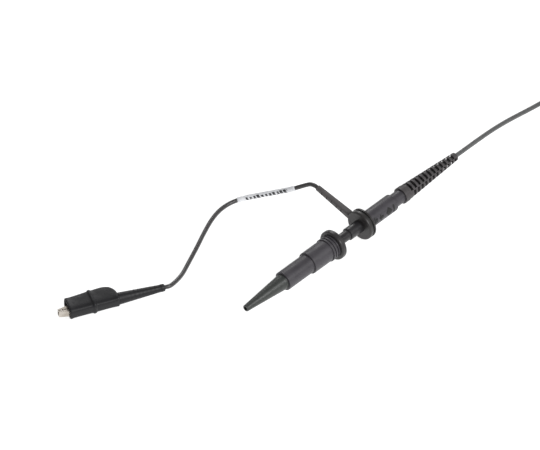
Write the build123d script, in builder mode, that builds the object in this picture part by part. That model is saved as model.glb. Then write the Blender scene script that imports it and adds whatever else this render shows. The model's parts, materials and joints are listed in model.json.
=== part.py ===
"""Oscilloscope probe: retractable hook tip, finger guard, ground lead with clip, cable and BNC plug.

Millimetres. +X runs from the tip to the cable and +Z is up. The origin lies under the middle of the probe
head, on the surface that its two flanges rest on. Pieces come in the order of a bench strip-down.
"""

import os
from math import cos, pi, radians, sin, sqrt, tan

from build123d import *

# ---- clearances ----
seat_clearance = 0.05  # radial, between pieces pressed or glued together
slide_clearance = 0.08  # radial, between pieces that slide or turn
stop_gap = 0.1  # between a sliding piece and its stop

# ---- hook sleeve, from the tip back ----
nose_length = 35.0
nose_tip_radius = 2.25
nose_base_radius = 5.35
nose_wall = 1.15
nose_bore_radius = 1.3
nose_bore_land = 3.0
spigot_radius = 4.75
spigot_length = 8.5
ledge_thickness = 1.5
front_barrel_length = 23.3
front_barrel_radius = 6.6
rear_barrel_length = 16.1
rear_barrel_radius = 7.65
rib_band_length = 6.6
rib_radius = 8.2
rib_count = 3
rib_groove_width = 0.9
rib_groove_depth = 0.7
flange_thickness = 4.1
flange_radius = 10.4

# ---- neck, finger guard, body and strain relief ----
hook_travel = 9.0  # how far the sleeve slides back
flange_spare = 2.5  # left between the flange and the neck's step at full travel
grip_gap_rear = 10.8
neck_radius = 3.5
neck_step_radius = 4.3
neck_spigot_radius = 3.9
neck_spigot_length = 2.5
guard_front_thickness = 2.7
guard_groove_width = 1.4
guard_groove_radius = 9.3
guard_rear_thickness = 1.2
guard_spigot_length = 5.3
body_length = 26.8
body_radius = 5.95
body_wall = 1.05
body_end_wall = 3.5
waist_length = 8.2
waist_radius = 4.65
waist_wall = 1.05
relief_length = 53.3
relief_collar_length = 3.8
relief_collar_radius = 5.75
relief_front_radius = 5.55
relief_end_radius = 2.85
relief_spigot_length = 6.7
slot_count = 12
slot_pitch = 3.83
slot_width = 2.1
slot_first = 6.9
head_roll = 12.0  # degrees, the ground socket's rise above the level

# ---- probe tip and hook carrier ----
ground_tube_radius = 2.5
ground_tube_wall = 0.6
ground_tube_setback = 54.3
tip_pin_radius = 0.4
tip_pin_setback = 45.5
tip_pin_length = 18.5
tip_insulator_length = 15.5
carrier_radius = 3.2
carrier_setback = 40.0
carrier_flange_thickness = 2.0
socket_radius = 1.5
socket_length = 11.0
hook_wire_radius = 0.35
hook_bend_radius = 0.75
hook_setback = 2.4
hook_return = 2.2
spring_wire_radius = 0.35
spring_mean_radius = 4.0
spring_turns = 8

# ---- divider parts inside the body ----
board_length = 17.0
board_width = 8.4
board_thickness = 0.8
resistor_radius = 1.1
resistor_length = 6.0
capacitor_size = (3.2, 2.5, 1.4)
shield_wall = 0.3
shield_length = 17.4
ferrule_radius = 2.6

# ---- cables ----
cable_radius = 1.5
lead_radius = 1.45
label_radius = 1.85
gauge = 3.0  # one cable diameter, the pitch of the coil's turns

# ---- ground plug and clip ----
lead_pin_radius = 0.8
lead_socket_radius = 1.25
lead_socket_depth = 4.6
lead_relief_length = 29.6
lead_relief_width = 5.0
lead_relief_height = 4.6
lead_relief_end_radius = 2.0
clip_heading = 153.0
clip_place = (-117.0, 55.8)
clip_relief_length = 31.7
clip_relief_radii = (2.2, 4.0)
boot_length = 33.7
boot_height = 8.6
boot_wall = 1.0
boot_edge_radius = 2.2
boot_near_side = 5.1
boot_far_side_mouth = 9.0
boot_far_side_hump = 12.1
boot_hump_station = 36.5
boot_hump_radius = 6.0
boot_step = 0.2
boot_band_station = 48.5
rib_band_width = 2.0
rib_band_rise = 0.7
jaw_sheet = 0.5
jaw_width = 4.4
jaw_reach = 6.7
jaw_half_gap = 0.15
jaw_pivot = (54.0, -2.4)
jaw_pin_radius = 0.6
jaw_tooth_pitch = 1.5
jaw_tooth_count = 7
jaw_tooth_depth = 0.5
jaw_spring_wire_radius = 0.2
jaw_spring_turns = 3
jaw_spring_leg = 5.0

# ---- coil and plug ----
coil_centre = (208.0, -22.0)
coil_mid_radius = 6 * gauge
coil_columns = 3
coil_layers = 3
tie_thickness = 0.5
tie_width = 6.0
plug_start = 246.0
plug_y = -7.0
plug_relief_length = 19.0
plug_relief_radii = (2.6, 4.4)
case_length = 38.0
case_width = 18.0
case_height = 15.0
case_wall = 1.3
case_corner = 2.5
screw_radius = 0.75
screw_head_radius = 1.5
screw_inset = 3.4
trimmer_side = 5.0
trimmer_radius = 1.3
trimmer_place = (20.0, -3.6)
bnc_bore_radius = 4.95
nut_outer_radius = 7.2
nut_length = 16.0
knurl_count = 24
contact_sleeve_radius = 4.0
contact_sleeve_wall = 0.5
bnc_pin_radius = 0.67

# ---- stations along the head, worked out from the lengths above ----
axis_height = flange_radius
grip_gap_front = hook_travel + flange_spare
neck_length = grip_gap_front + grip_gap_rear
guard_thickness = guard_front_thickness + guard_groove_width + guard_rear_thickness
sleeve_length = nose_length + front_barrel_length + rear_barrel_length + rib_band_length + flange_thickness
head_length = sleeve_length + neck_length + guard_thickness + body_length + waist_length + relief_length
tip_x = -head_length / 2
nose_end = tip_x + nose_length
front_end = nose_end + front_barrel_length
rear_end = front_end + rear_barrel_length
ribs_end = rear_end + rib_band_length
flange_end = ribs_end + flange_thickness
neck_step = flange_end + grip_gap_front
guard_start = neck_step + grip_gap_rear
guard_end = guard_start + guard_thickness
body_end = guard_end + body_length
waist_end = body_end + waist_length
relief_end = waist_end + relief_length
carrier_front = tip_x + carrier_setback
ledge_back = nose_end + spigot_length
flange_lip = ribs_end - 6.7
carrier_back = flange_lip - stop_gap
neck_front = carrier_back + 4 * stop_gap
guard_middle = guard_start + guard_thickness / 2

barrel_bore = spigot_radius + seat_clearance
body_bore = body_radius - body_wall
waist_bore = waist_radius - waist_wall
inner_cable_bore = cable_radius + seat_clearance

probe_axis = Axis((0, 0, axis_height), (1, 0, 0))
socket_direction = Vector(0, cos(radians(head_roll)), sin(radians(head_roll)))
slot_direction = Vector(0, -sin(radians(head_roll)), cos(radians(head_roll)))

os.makedirs("parts", exist_ok=True)


def profile(points, axis=probe_axis):
    """Return the half section whose corners are (station, radius) about an axis along X."""
    start = axis.position
    with BuildSketch(Plane(origin=(0, start.Y, start.Z), x_dir=(1, 0, 0), z_dir=(0, -1, 0))) as section:
        with BuildLine():
            Polyline(*points, close=True)
        make_face()
    return section.sketch


def tube_profile(start, end, outer, inner, axis=probe_axis):
    """Return the half section of a plain tube, or of a bar when inner is 0."""
    return profile([(start, inner), (start, outer), (end, outer), (end, inner)], axis)


def across(station, direction, height=axis_height, y=0.0):
    """Return a plane at a station whose normal points across the axis."""
    return Plane(origin=(station, y, height), x_dir=(1, 0, 0), z_dir=direction)


def rims_of(piece, radius):
    """Return a turned piece's circular edges of one radius, in order along X."""
    circles = piece.edges().filter_by(GeomType.CIRCLE)
    return circles.filter_by(lambda edge: abs(edge.radius - radius) < 0.01).sort_by(Axis.X)


def save(piece, name):
    """Label a finished piece and write its STEP file."""
    piece.part.label = name
    export_step(piece.part, f"parts/{name}.step")


def route_radii(points):
    """Return, for each inner corner, 0.45 of its shorter run over the tangent of half its turn."""
    corners = [Vector(*point) for point in points]
    radii = []
    for before, corner, after in zip(corners, corners[1:], corners[2:]):
        turn = radians((corner - before).get_angle(after - corner))
        radii.append(0.45 * min((corner - before).length, (after - corner).length) / tan(turn / 2))
    return radii


def route_line(points):
    """Return the straight runs and tangent arcs that a cord follows."""
    return FilletPolyline(*points, radius=route_radii(points))


# ======== hook sleeve: slides back to bare the hook ========
inner_slope_end = nose_base_radius - nose_wall

with BuildPart() as nose_cone:
    revolve(
        profile(
            [
                (tip_x, nose_bore_radius),
                (tip_x, nose_tip_radius),
                (nose_end, nose_base_radius),
                (nose_end, spigot_radius),
                (ledge_back, spigot_radius),
                (ledge_back, carrier_radius + slide_clearance),
                (ledge_back - ledge_thickness, carrier_radius + slide_clearance),
                (ledge_back - ledge_thickness, inner_slope_end),
                (nose_end, inner_slope_end),
                (tip_x + nose_bore_land, nose_bore_radius),
            ]
        ),
        axis=probe_axis,
    )
    fillet(rims_of(nose_cone, nose_tip_radius), 0.35)
save(nose_cone, "nose_cone")

rib_pitch = rib_band_length / rib_count

with BuildPart() as barrel_shell:
    revolve(
        profile(
            [
                (nose_end, barrel_bore),
                (nose_end, front_barrel_radius - 0.3),
                (nose_end + 0.3, front_barrel_radius),
                (front_end, front_barrel_radius),
                (front_end, rear_barrel_radius - 0.3),
                (front_end + 0.3, rear_barrel_radius),
                (rear_end, rear_barrel_radius),
                (rear_end, rib_radius),
                (ribs_end, rib_radius),
                (ribs_end, barrel_bore),
            ]
        ),
        axis=probe_axis,
    )
    for rib in range(rib_count):
        groove = rear_end + rib * rib_pitch
        revolve(
            tube_profile(groove, groove + rib_groove_width, rib_radius + 1, rib_radius - rib_groove_depth),
            axis=probe_axis,
            mode=Mode.SUBTRACT,
        )
save(barrel_shell, "barrel_shell")

with BuildPart() as finger_flange:
    revolve(
        profile(
            [
                (flange_lip, neck_radius + slide_clearance),
                (flange_lip, spigot_radius),
                (ribs_end, spigot_radius),
                (ribs_end, flange_radius),
                (flange_end, flange_radius),
                (flange_end, neck_radius + slide_clearance),
            ]
        ),
        axis=probe_axis,
    )
    fillet(rims_of(finger_flange, flange_radius), 1.1)
save(finger_flange, "finger_flange")

# ======== hook carrier: pushed on the probe tip, stays while the sleeve slides ========
with BuildPart() as hook_carrier:
    revolve(
        profile(
            [
                (carrier_front, socket_radius + seat_clearance),
                (carrier_front, carrier_radius),
                (carrier_back - carrier_flange_thickness, carrier_radius),
                (carrier_back - carrier_flange_thickness, barrel_bore - slide_clearance),
                (carrier_back, barrel_bore - slide_clearance),
                (carrier_back, ground_tube_radius + slide_clearance),
                (tip_x + ground_tube_setback - stop_gap, ground_tube_radius + slide_clearance),
                (tip_x + ground_tube_setback - stop_gap, socket_radius + seat_clearance),
            ]
        ),
        axis=probe_axis,
    )
save(hook_carrier, "hook_carrier")

socket_front = carrier_front + 1
wire_end = socket_front + 3.5
pin_front = tip_x + tip_pin_setback

with BuildPart() as hook_socket:
    revolve(tube_profile(socket_front, socket_front + socket_length, socket_radius, 0), axis=probe_axis)
    revolve(
        tube_profile(socket_front, wire_end, hook_wire_radius + seat_clearance, 0),
        axis=probe_axis,
        mode=Mode.SUBTRACT,
    )
    revolve(
        tube_profile(pin_front - stop_gap, socket_front + socket_length, tip_pin_radius + slide_clearance, 0),
        axis=probe_axis,
        mode=Mode.SUBTRACT,
    )
save(hook_socket, "hook_socket")

hook_x = tip_x + hook_setback

with BuildPart() as hook_wire:
    with BuildLine() as hook_path:
        shank = Line((wire_end, 0, axis_height), (carrier_front - 6, 0, axis_height))
        crank = Line(shank @ 1, (carrier_front - 12, 0, axis_height + hook_bend_radius))
        reach = Line(crank @ 1, (hook_x + hook_bend_radius, 0, axis_height + hook_bend_radius))
        bend = ThreePointArc(
            reach @ 1, (hook_x, 0, axis_height), (hook_x + hook_bend_radius, 0, axis_height - hook_bend_radius)
        )
        Line(bend @ 1, (hook_x + hook_bend_radius + hook_return, 0, axis_height - hook_bend_radius))
    with BuildSketch(Plane(origin=shank @ 0, z_dir=(-1, 0, 0))):
        Circle(hook_wire_radius)
    sweep(path=hook_path.wire(), transition=Transition.ROUND)
save(hook_wire, "hook_wire")

spring_start = ledge_back + spring_wire_radius + stop_gap
spring_end = carrier_back - carrier_flange_thickness - spring_wire_radius - stop_gap
spring_pitch = (spring_end - spring_start) / spring_turns

with BuildPart() as sleeve_spring:
    with BuildLine() as spring_path:
        Helix(
            pitch=spring_pitch,
            height=spring_end - spring_start,
            radius=spring_mean_radius,
            center=(spring_start, 0, axis_height),
            direction=(1, 0, 0),
        )
    spring_wire = spring_path.wire()
    with BuildSketch(Plane(origin=spring_wire @ 0, z_dir=spring_wire % 0)):
        Circle(spring_wire_radius)
    sweep(path=spring_wire, is_frenet=True)
save(sleeve_spring, "sleeve_spring")

# ======== probe tip and neck ========
tube_front = tip_x + ground_tube_setback
tube_back = guard_end + guard_spigot_length

with BuildPart() as probe_tip_pin:
    revolve(tube_profile(pin_front, pin_front + tip_pin_length, tip_pin_radius, 0), axis=probe_axis)
    chamfer(probe_tip_pin.faces().sort_by(Axis.X)[0].edges(), tip_pin_radius * 0.7)
save(probe_tip_pin, "probe_tip_pin")

with BuildPart() as tip_insulator:
    revolve(
        tube_profile(
            tube_front + stop_gap,
            tube_front + tip_insulator_length,
            ground_tube_radius - ground_tube_wall - seat_clearance,
            tip_pin_radius + seat_clearance,
        ),
        axis=probe_axis,
    )
save(tip_insulator, "tip_insulator")

with BuildPart() as ground_tube:
    revolve(
        tube_profile(tube_front, tube_back, ground_tube_radius, ground_tube_radius - ground_tube_wall),
        axis=probe_axis,
    )
save(ground_tube, "ground_tube")

with BuildPart() as neck_sleeve:
    revolve(
        profile(
            [
                (neck_front, ground_tube_radius + seat_clearance),
                (neck_front, neck_radius),
                (neck_step, neck_radius),
                (neck_step, neck_step_radius),
                (guard_start, neck_step_radius),
                (guard_start, neck_spigot_radius),
                (guard_start + neck_spigot_length, neck_spigot_radius),
                (guard_start + neck_spigot_length, ground_tube_radius + seat_clearance),
            ]
        ),
        axis=probe_axis,
    )
save(neck_sleeve, "neck_sleeve")

# ======== finger guard with its marker ring and ground socket ========
lead_flat = flange_radius - 0.5
groove_start = guard_start + guard_front_thickness
groove_end = groove_start + guard_groove_width
socket_foot = lead_flat - lead_socket_depth

with BuildPart() as finger_guard:
    revolve(
        profile(
            [
                (guard_start, neck_spigot_radius + seat_clearance),
                (guard_start, flange_radius),
                (groove_start, flange_radius),
                (groove_start, guard_groove_radius),
                (groove_end, guard_groove_radius),
                (groove_end, flange_radius),
                (guard_end, flange_radius),
                (guard_end, body_bore - seat_clearance),
                (guard_end + guard_spigot_length, body_bore - seat_clearance),
                (guard_end + guard_spigot_length, ground_tube_radius + seat_clearance),
                (guard_start + neck_spigot_length, ground_tube_radius + seat_clearance),
                (guard_start + neck_spigot_length, neck_spigot_radius + seat_clearance),
            ]
        ),
        axis=probe_axis,
    )
    fillet(rims_of(finger_guard, flange_radius)[0], 1.2)
    with BuildSketch(across(guard_middle, socket_direction).offset(lead_flat)):
        Rectangle(guard_thickness + 1, flange_radius)
    extrude(amount=2, mode=Mode.SUBTRACT)
    with BuildSketch(across(guard_middle, socket_direction).offset(socket_foot)):
        Circle(lead_socket_radius + seat_clearance)
    extrude(amount=lead_socket_depth + 1, mode=Mode.SUBTRACT)
save(finger_guard, "finger_guard")

ring_rise = 0.45

with BuildPart() as marker_ring:
    revolve(
        tube_profile(
            groove_start + seat_clearance,
            groove_end - seat_clearance,
            guard_groove_radius + seat_clearance + ring_rise,
            guard_groove_radius + seat_clearance,
        ),
        axis=probe_axis,
    )
    with BuildSketch(across(guard_middle, socket_direction).offset(neck_radius)):
        Rectangle(guard_thickness, lead_relief_height + 2)
    extrude(amount=flange_radius, mode=Mode.SUBTRACT)
save(marker_ring, "marker_ring")

with BuildPart() as ground_socket:
    with BuildSketch(across(guard_middle, socket_direction).offset(socket_foot)):
        Circle(lead_socket_radius)
        Circle(lead_pin_radius + seat_clearance, mode=Mode.SUBTRACT)
    extrude(amount=lead_socket_depth)
save(ground_socket, "ground_socket")

# ======== body shell and the divider inside it ========
with BuildPart() as body_shell:
    revolve(
        profile(
            [
                (guard_end, body_bore),
                (guard_end, body_radius),
                (body_end, body_radius),
                (body_end, waist_radius),
                (waist_end, waist_radius),
                (waist_end, waist_bore),
                (body_end - body_end_wall, waist_bore),
                (body_end - body_end_wall, body_bore),
            ]
        ),
        axis=probe_axis,
    )
    fillet(rims_of(body_shell, body_radius)[-1], 1.0)
save(body_shell, "body_shell")

divider_start = tube_back + 2 * stop_gap

with BuildPart() as shield_can:
    revolve(
        tube_profile(
            divider_start,
            divider_start + shield_length,
            body_bore - seat_clearance,
            body_bore - seat_clearance - shield_wall,
        ),
        axis=probe_axis,
    )
save(shield_can, "shield_can")

board_plane = Plane(origin=(divider_start, 0, axis_height), x_dir=(1, 0, 0), z_dir=slot_direction)

with BuildPart() as divider_board:
    with BuildSketch(board_plane.offset(-board_thickness / 2)):
        Rectangle(board_length, board_width, align=(Align.MIN, Align.CENTER))
    extrude(amount=board_thickness)
save(divider_board, "divider_board")

parts_height = board_thickness / 2 + seat_clearance

with BuildPart() as input_resistor:
    with BuildSketch(Plane.YZ.offset(divider_start + 3)):
        rise = parts_height + resistor_radius
        with Locations((rise * slot_direction.Y, axis_height + rise * slot_direction.Z)):
            Circle(resistor_radius)
    extrude(amount=resistor_length)
    fillet(input_resistor.edges(), 0.4)
save(input_resistor, "input_resistor")

with BuildPart() as input_capacitor:
    with BuildSketch(board_plane.offset(parts_height)):
        with Locations((board_length - 4, 0)):
            Rectangle(capacitor_size[0], capacitor_size[1])
    extrude(amount=capacitor_size[2])
    fillet(input_capacitor.edges().filter_by(Axis(origin=(0, 0, 0), direction=slot_direction)), 0.3)
save(input_capacitor, "input_capacitor")

ferrule_start = divider_start + shield_length + 2 * stop_gap
relief_spigot_start = waist_end - relief_spigot_length

with BuildPart() as cable_ferrule:
    revolve(
        tube_profile(ferrule_start, relief_spigot_start - stop_gap, ferrule_radius, inner_cable_bore),
        axis=probe_axis,
    )
    chamfer(rims_of(cable_ferrule, ferrule_radius), 0.25)
save(cable_ferrule, "cable_ferrule")

with BuildPart() as inner_cable:
    revolve(tube_profile(ferrule_start, relief_end, cable_radius, 0), axis=probe_axis)
save(inner_cable, "inner_cable")

with BuildPart() as strain_relief:
    revolve(
        profile(
            [
                (relief_spigot_start, inner_cable_bore),
                (relief_spigot_start, waist_bore - seat_clearance),
                (waist_end, waist_bore - seat_clearance),
                (waist_end, relief_collar_radius),
                (waist_end + relief_collar_length, relief_collar_radius),
                (waist_end + relief_collar_length, relief_front_radius),
                (relief_end, relief_end_radius),
                (relief_end, inner_cable_bore),
            ]
        ),
        axis=probe_axis,
    )
    taper_start = waist_end + relief_collar_length
    taper_rate = (relief_front_radius - relief_end_radius) / (relief_end - taper_start)
    for slot in range(2 * slot_count):
        middle = waist_end + slot_first + slot * slot_pitch / 2
        direction = socket_direction if slot % 2 else slot_direction
        local_radius = relief_front_radius - taper_rate * (middle - taper_start)
        if middle < relief_end - slot_width:
            with BuildSketch(across(middle, direction).offset(-relief_collar_radius)):
                Rectangle(slot_width, 1.3 * local_radius)
            extrude(amount=2 * relief_collar_radius, mode=Mode.SUBTRACT)
save(strain_relief, "strain_relief")

# ======== ground lead: plug, relief, lead, label ========
lead_base = Vector(guard_middle, 0, axis_height) + socket_direction * lead_flat
lead_start = lead_base + socket_direction * lead_relief_length

with BuildPart() as ground_lead_pin:
    with BuildSketch(across(guard_middle, socket_direction).offset(socket_foot + 0.3)):
        Circle(lead_pin_radius)
    extrude(amount=lead_socket_depth - 0.3)
    fillet(ground_lead_pin.edges().sort_by(Axis.Y)[0], 0.3)
save(ground_lead_pin, "ground_lead_pin")

lead_base_plane = across(guard_middle, socket_direction).offset(lead_flat)

with BuildPart() as ground_lead_relief:
    with BuildSketch(lead_base_plane):
        RectangleRounded(lead_relief_width, lead_relief_height, 1.4)
    with BuildSketch(lead_base_plane.offset(lead_relief_length)):
        Circle(lead_relief_end_radius)
    loft()
    for notch in range(5):
        with BuildSketch(lead_base_plane.offset(6 + notch * 4.4)):
            with GridLocations(lead_relief_width - 0.16 * (6 + notch * 4.4) / 4.4, 0, 2, 1):
                Rectangle(1.2, lead_relief_height * 0.55)
        extrude(amount=1.1, mode=Mode.SUBTRACT)
save(ground_lead_relief, "ground_lead_relief")

clip_direction = Vector(cos(radians(clip_heading)), sin(radians(clip_heading)), 0)
clip_height = rib_band_rise + boot_height / 2
clip_start = Vector(*clip_place, clip_height)

lead_route = [
    tuple(lead_start),
    tuple(lead_start + socket_direction * 5.8),
    (7.2, 50.2, 18.3),
    (2.8, 55.4, 14.2),
    (-2.4, 63.1, 9.6),
    (-8.6, 71.0, 6.0),
    (-15.1, 78.3, 3.2),
    (-23.0, 83.7, 1.9),
    (-32.9, 85.2, lead_radius),
    (-44.1, 82.9, lead_radius),
    (-57.6, 77.4, lead_radius),
    (-72.1, 70.5, lead_radius),
    (-86.1, 64.2, 1.6),
    (-94.0, 59.9, 2.3),
    (-100.8, 56.3, 3.4),
    (-106.6, 53.5, 4.5),
    tuple(clip_start - clip_direction * 5.6),
    tuple(clip_start),
]
label_first, label_last = 3, 6  # the corners of the route that the label sleeve covers

with BuildPart() as ground_lead:
    with BuildLine() as lead_line:
        route_line(lead_route)
    lead_wire = lead_line.wire()
    with BuildSketch(Plane(origin=lead_wire @ 0, z_dir=lead_wire % 0)):
        Circle(lead_radius)
    sweep(path=lead_wire)
save(ground_lead, "ground_lead")

lead_points = [Vector(*point) for point in lead_route]
label_start = (lead_points[label_first - 1] + lead_points[label_first]) * 0.5
label_end = (lead_points[label_last] + lead_points[label_last + 1]) * 0.5
label_corners = lead_points[label_first : label_last + 1]

with BuildPart() as lead_label:
    with BuildLine() as label_line:
        FilletPolyline(
            label_start, *label_corners, label_end, radius=route_radii(lead_route)[label_first - 1 : label_last]
        )
    label_wire = label_line.wire()
    with BuildSketch(Plane(origin=label_wire @ 0, z_dir=label_wire % 0)):
        Circle(label_radius)
        Circle(lead_radius + seat_clearance, mode=Mode.SUBTRACT)
    sweep(path=label_wire)
save(lead_label, "lead_label")

# ======== ground clip, lying on its side ========
clip_plane = Plane(origin=(clip_start.X, clip_start.Y, 0), x_dir=clip_direction, z_dir=(0, 0, 1))
clip_side = Plane(origin=clip_start, x_dir=clip_direction, z_dir=clip_plane.y_dir)
clip_axis = Axis(clip_start, clip_direction)
boot_mouth = clip_relief_length + boot_length

with BuildPart() as clip_relief:
    with BuildSketch(clip_side):
        with BuildLine():
            Polyline(
                (0, 0),
                (0, clip_relief_radii[0]),
                (clip_relief_length, clip_relief_radii[1]),
                (clip_relief_length, 0),
                close=True,
            )
        make_face()
    revolve(axis=clip_axis)
save(clip_relief, "clip_relief")


boot_near_slope = (boot_near_side - clip_relief_radii[1] - boot_step) / boot_length


def boot_outline(inset, front, rear):
    """Return the boot's outline seen from above, moved inwards by inset, between two stations."""
    near_rear = clip_relief_radii[1] + boot_step - inset + boot_near_slope * (rear - clip_relief_length)
    hump = (boot_hump_station, inset - boot_far_side_hump)
    with BuildSketch(clip_plane.offset(rib_band_rise + inset)) as outline:
        with BuildLine():
            Polyline(
                (rear, near_rear),
                (front, boot_near_side - inset),
                (front, inset - boot_far_side_mouth),
                hump,
                (rear, inset - clip_relief_radii[1] - boot_step),
                close=True,
            )
        make_face()
        fillet(outline.vertices().sort_by_distance((*hump, 0))[0], boot_hump_radius - inset)
    return outline.sketch


def boot_station(edge):
    """Return how far along the clip an edge's middle lies."""
    return clip_plane.to_local_coords(edge @ 0.5).X


def clip_section(station):
    """Return the plane across the clip at a station, its first axis to the near side."""
    return Plane(origin=clip_start + clip_direction * station, x_dir=clip_plane.y_dir, z_dir=clip_direction)


with BuildPart() as clip_boot:
    extrude(boot_outline(0, boot_mouth, clip_relief_length), amount=boot_height)
    between_ends = clip_boot.edges().filter_by(
        lambda edge: clip_relief_length + 0.01 < boot_station(edge) < boot_mouth - 0.01
    )
    fillet(between_ends.filter_by(Axis.Z, reverse=True), boot_edge_radius)
    band_share = (boot_mouth - boot_band_station) / (boot_mouth - boot_hump_station)
    band_near = boot_near_side - boot_near_slope * (boot_mouth - boot_band_station)
    band_far = boot_far_side_mouth + (boot_far_side_hump - boot_far_side_mouth) * band_share
    with BuildSketch(clip_section(boot_band_station)):
        with Locations(((band_near - band_far) / 2, 0)):
            RectangleRounded(
                band_near + band_far + 2 * rib_band_rise,
                boot_height + 2 * rib_band_rise,
                boot_edge_radius + rib_band_rise,
            )
    extrude(amount=rib_band_width)
    extrude(
        boot_outline(boot_wall, boot_mouth + 1, clip_relief_length + boot_wall),
        amount=boot_height - 2 * boot_wall,
        mode=Mode.SUBTRACT,
    )
save(clip_boot, "clip_boot")

jaw_tip = boot_mouth + jaw_reach
jaw_base = Plane(origin=clip_plane.origin + Vector(0, 0, clip_height), x_dir=clip_direction, z_dir=(0, 0, 1))
ear_inner_width = jaw_width - 2 * jaw_sheet
upper_width = ear_inner_width - 2 * slide_clearance - 0.04


def jaw_profile(points):
    """Return a jaw's outline on the clip's middle plane."""
    with BuildSketch(jaw_base) as outline:
        with BuildLine():
            Polyline(*points, close=True)
        make_face()
    return outline.sketch


def tooth_cuts(side):
    """Return the notches between the teeth, on the near (1) or far (-1) jaw."""
    half_pitch = jaw_tooth_pitch / 2
    with BuildSketch(jaw_base) as notches:
        for tooth in range(jaw_tooth_count):
            middle = jaw_tip - jaw_tooth_pitch * (tooth + 1)
            with BuildLine():
                Polyline(
                    (middle - half_pitch * 0.9, 0),
                    (middle, side * (jaw_half_gap + jaw_tooth_depth)),
                    (middle + half_pitch * 0.9, 0),
                    close=True,
                )
            make_face()
    return notches.sketch


with BuildPart() as lower_jaw:
    extrude(
        jaw_profile(
            [
                (jaw_tip, jaw_half_gap),
                (jaw_tip, 1.4),
                (66, 2.9),
                (38, 2.9),
                (38, 0.4),
                (50, 0.2),
                (52.2, -3.6),
                (55.8, -3.6),
                (58, -0.3),
                (60, jaw_half_gap),
            ]
        ),
        amount=jaw_width / 2,
        both=True,
    )
    extrude(
        jaw_profile([(jaw_tip + 1, -5), (jaw_tip + 1, 0.8), (66, 2.9 - jaw_sheet), (37, 2.9 - jaw_sheet), (37, -5)]),
        amount=ear_inner_width / 2,
        both=True,
        mode=Mode.SUBTRACT,
    )
    extrude(tooth_cuts(1), amount=jaw_width, both=True, mode=Mode.SUBTRACT)
    with BuildSketch(jaw_base):
        with Locations(jaw_pivot):
            Circle(jaw_pin_radius + 0.02)
    extrude(amount=jaw_width, both=True, mode=Mode.SUBTRACT)
save(lower_jaw, "lower_jaw")

with BuildPart() as upper_jaw:
    back_line = [(jaw_tip, -1.4), (66, -2.8), (58, -4.4), (50, -5.0), (41.5, -9.8)]
    extrude(
        jaw_profile([*back_line, (41.2, -8.7), (50, -3.0), (52.5, -1.2), (60, -jaw_half_gap), (jaw_tip, -jaw_half_gap)]),
        amount=upper_width / 2,
        both=True,
    )
    extrude(
        jaw_profile([(jaw_tip, -1.4), (66, -2.8), (61, -3.8), (61, -jaw_half_gap), (jaw_tip, -jaw_half_gap)]),
        amount=jaw_width / 2,
        both=True,
    )
    inner_line = [(jaw_tip + 1, -0.8), (66, -2.8 + jaw_sheet), (58, -4.4 + jaw_sheet), (50, -5.0 + jaw_sheet)]
    extrude(
        jaw_profile([*inner_line, (44, -7.2), (44, 1), (jaw_tip + 1, 1)]),
        amount=upper_width / 2 - jaw_sheet,
        both=True,
        mode=Mode.SUBTRACT,
    )
    extrude(tooth_cuts(-1), amount=jaw_width, both=True, mode=Mode.SUBTRACT)
    with BuildSketch(jaw_base):
        with Locations(jaw_pivot):
            Circle(jaw_pin_radius + slide_clearance)
    extrude(amount=jaw_width, both=True, mode=Mode.SUBTRACT)
save(upper_jaw, "upper_jaw")

with BuildPart() as jaw_pin:
    with BuildSketch(jaw_base):
        with Locations(jaw_pivot):
            Circle(jaw_pin_radius)
    extrude(amount=jaw_width / 2 + 0.4, both=True)
    fillet(jaw_pin.edges(), 0.15)
save(jaw_pin, "jaw_pin")

jaw_coil_radius = jaw_pin_radius + slide_clearance + jaw_spring_wire_radius
jaw_coil_height = upper_width - 2 * (jaw_sheet + jaw_spring_wire_radius + stop_gap)
pin_point = clip_plane.from_local_coords(Vector(jaw_pivot[0], jaw_pivot[1], 0))


def jaw_point(station, side, rise):
    """Return a point of the clip from its station, its side and its height above the middle plane."""
    return clip_plane.from_local_coords(Vector(station, side, clip_height + rise))


with BuildPart() as jaw_spring:
    with BuildLine() as jaw_spring_line:
        Helix(
            pitch=jaw_coil_height / jaw_spring_turns,
            height=jaw_coil_height,
            radius=jaw_coil_radius,
            center=(pin_point.X, pin_point.Y, clip_height - jaw_coil_height / 2),
        )
    jaw_spring_wire = jaw_spring_line.wire()
    with BuildSketch(Plane(origin=jaw_spring_wire @ 0, z_dir=jaw_spring_wire % 0)):
        Circle(jaw_spring_wire_radius)
    sweep(path=jaw_spring_wire, is_frenet=True)
    for root, rise, side in (
        (jaw_spring_wire @ 0, -jaw_coil_height / 2, 1.9),
        (jaw_spring_wire @ 1, jaw_coil_height / 2, -4.1),
    ):
        foot = jaw_point(jaw_pivot[0] - jaw_spring_leg, side, rise)
        with BuildSketch(Plane(origin=root, z_dir=foot - root)):
            Circle(jaw_spring_wire_radius)
        extrude(amount=(foot - root).length)
save(jaw_spring, "jaw_spring")

# ======== probe cable, its put-away coil and the tie ========
coil_x, coil_y = coil_centre
coil_inner = coil_mid_radius - coil_columns * gauge / 2
coil_outer = coil_mid_radius + coil_columns * gauge / 2
coil_bottom = tie_thickness + stop_gap
coil_top = coil_bottom + coil_layers * gauge
coil_axis = Axis((coil_x, coil_y, 0), (0, 0, 1))
outer_turn = coil_outer - cable_radius
inner_turn = coil_inner + cable_radius

cable_route = [
    (relief_end, 0, axis_height),
    (relief_end + 10.0, 0, axis_height),
    (123.0, 0.2, 10.1),
    (137.0, 0.6, 9.2),
    (151.0, 1.1, 7.2),
    (165.0, 1.3, 4.6),
    (179.0, 0.8, 2.5),
    (193.0, -0.3, 1.8),
    (coil_x - 3, coil_y + outer_turn, coil_bottom + cable_radius),
]

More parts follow.
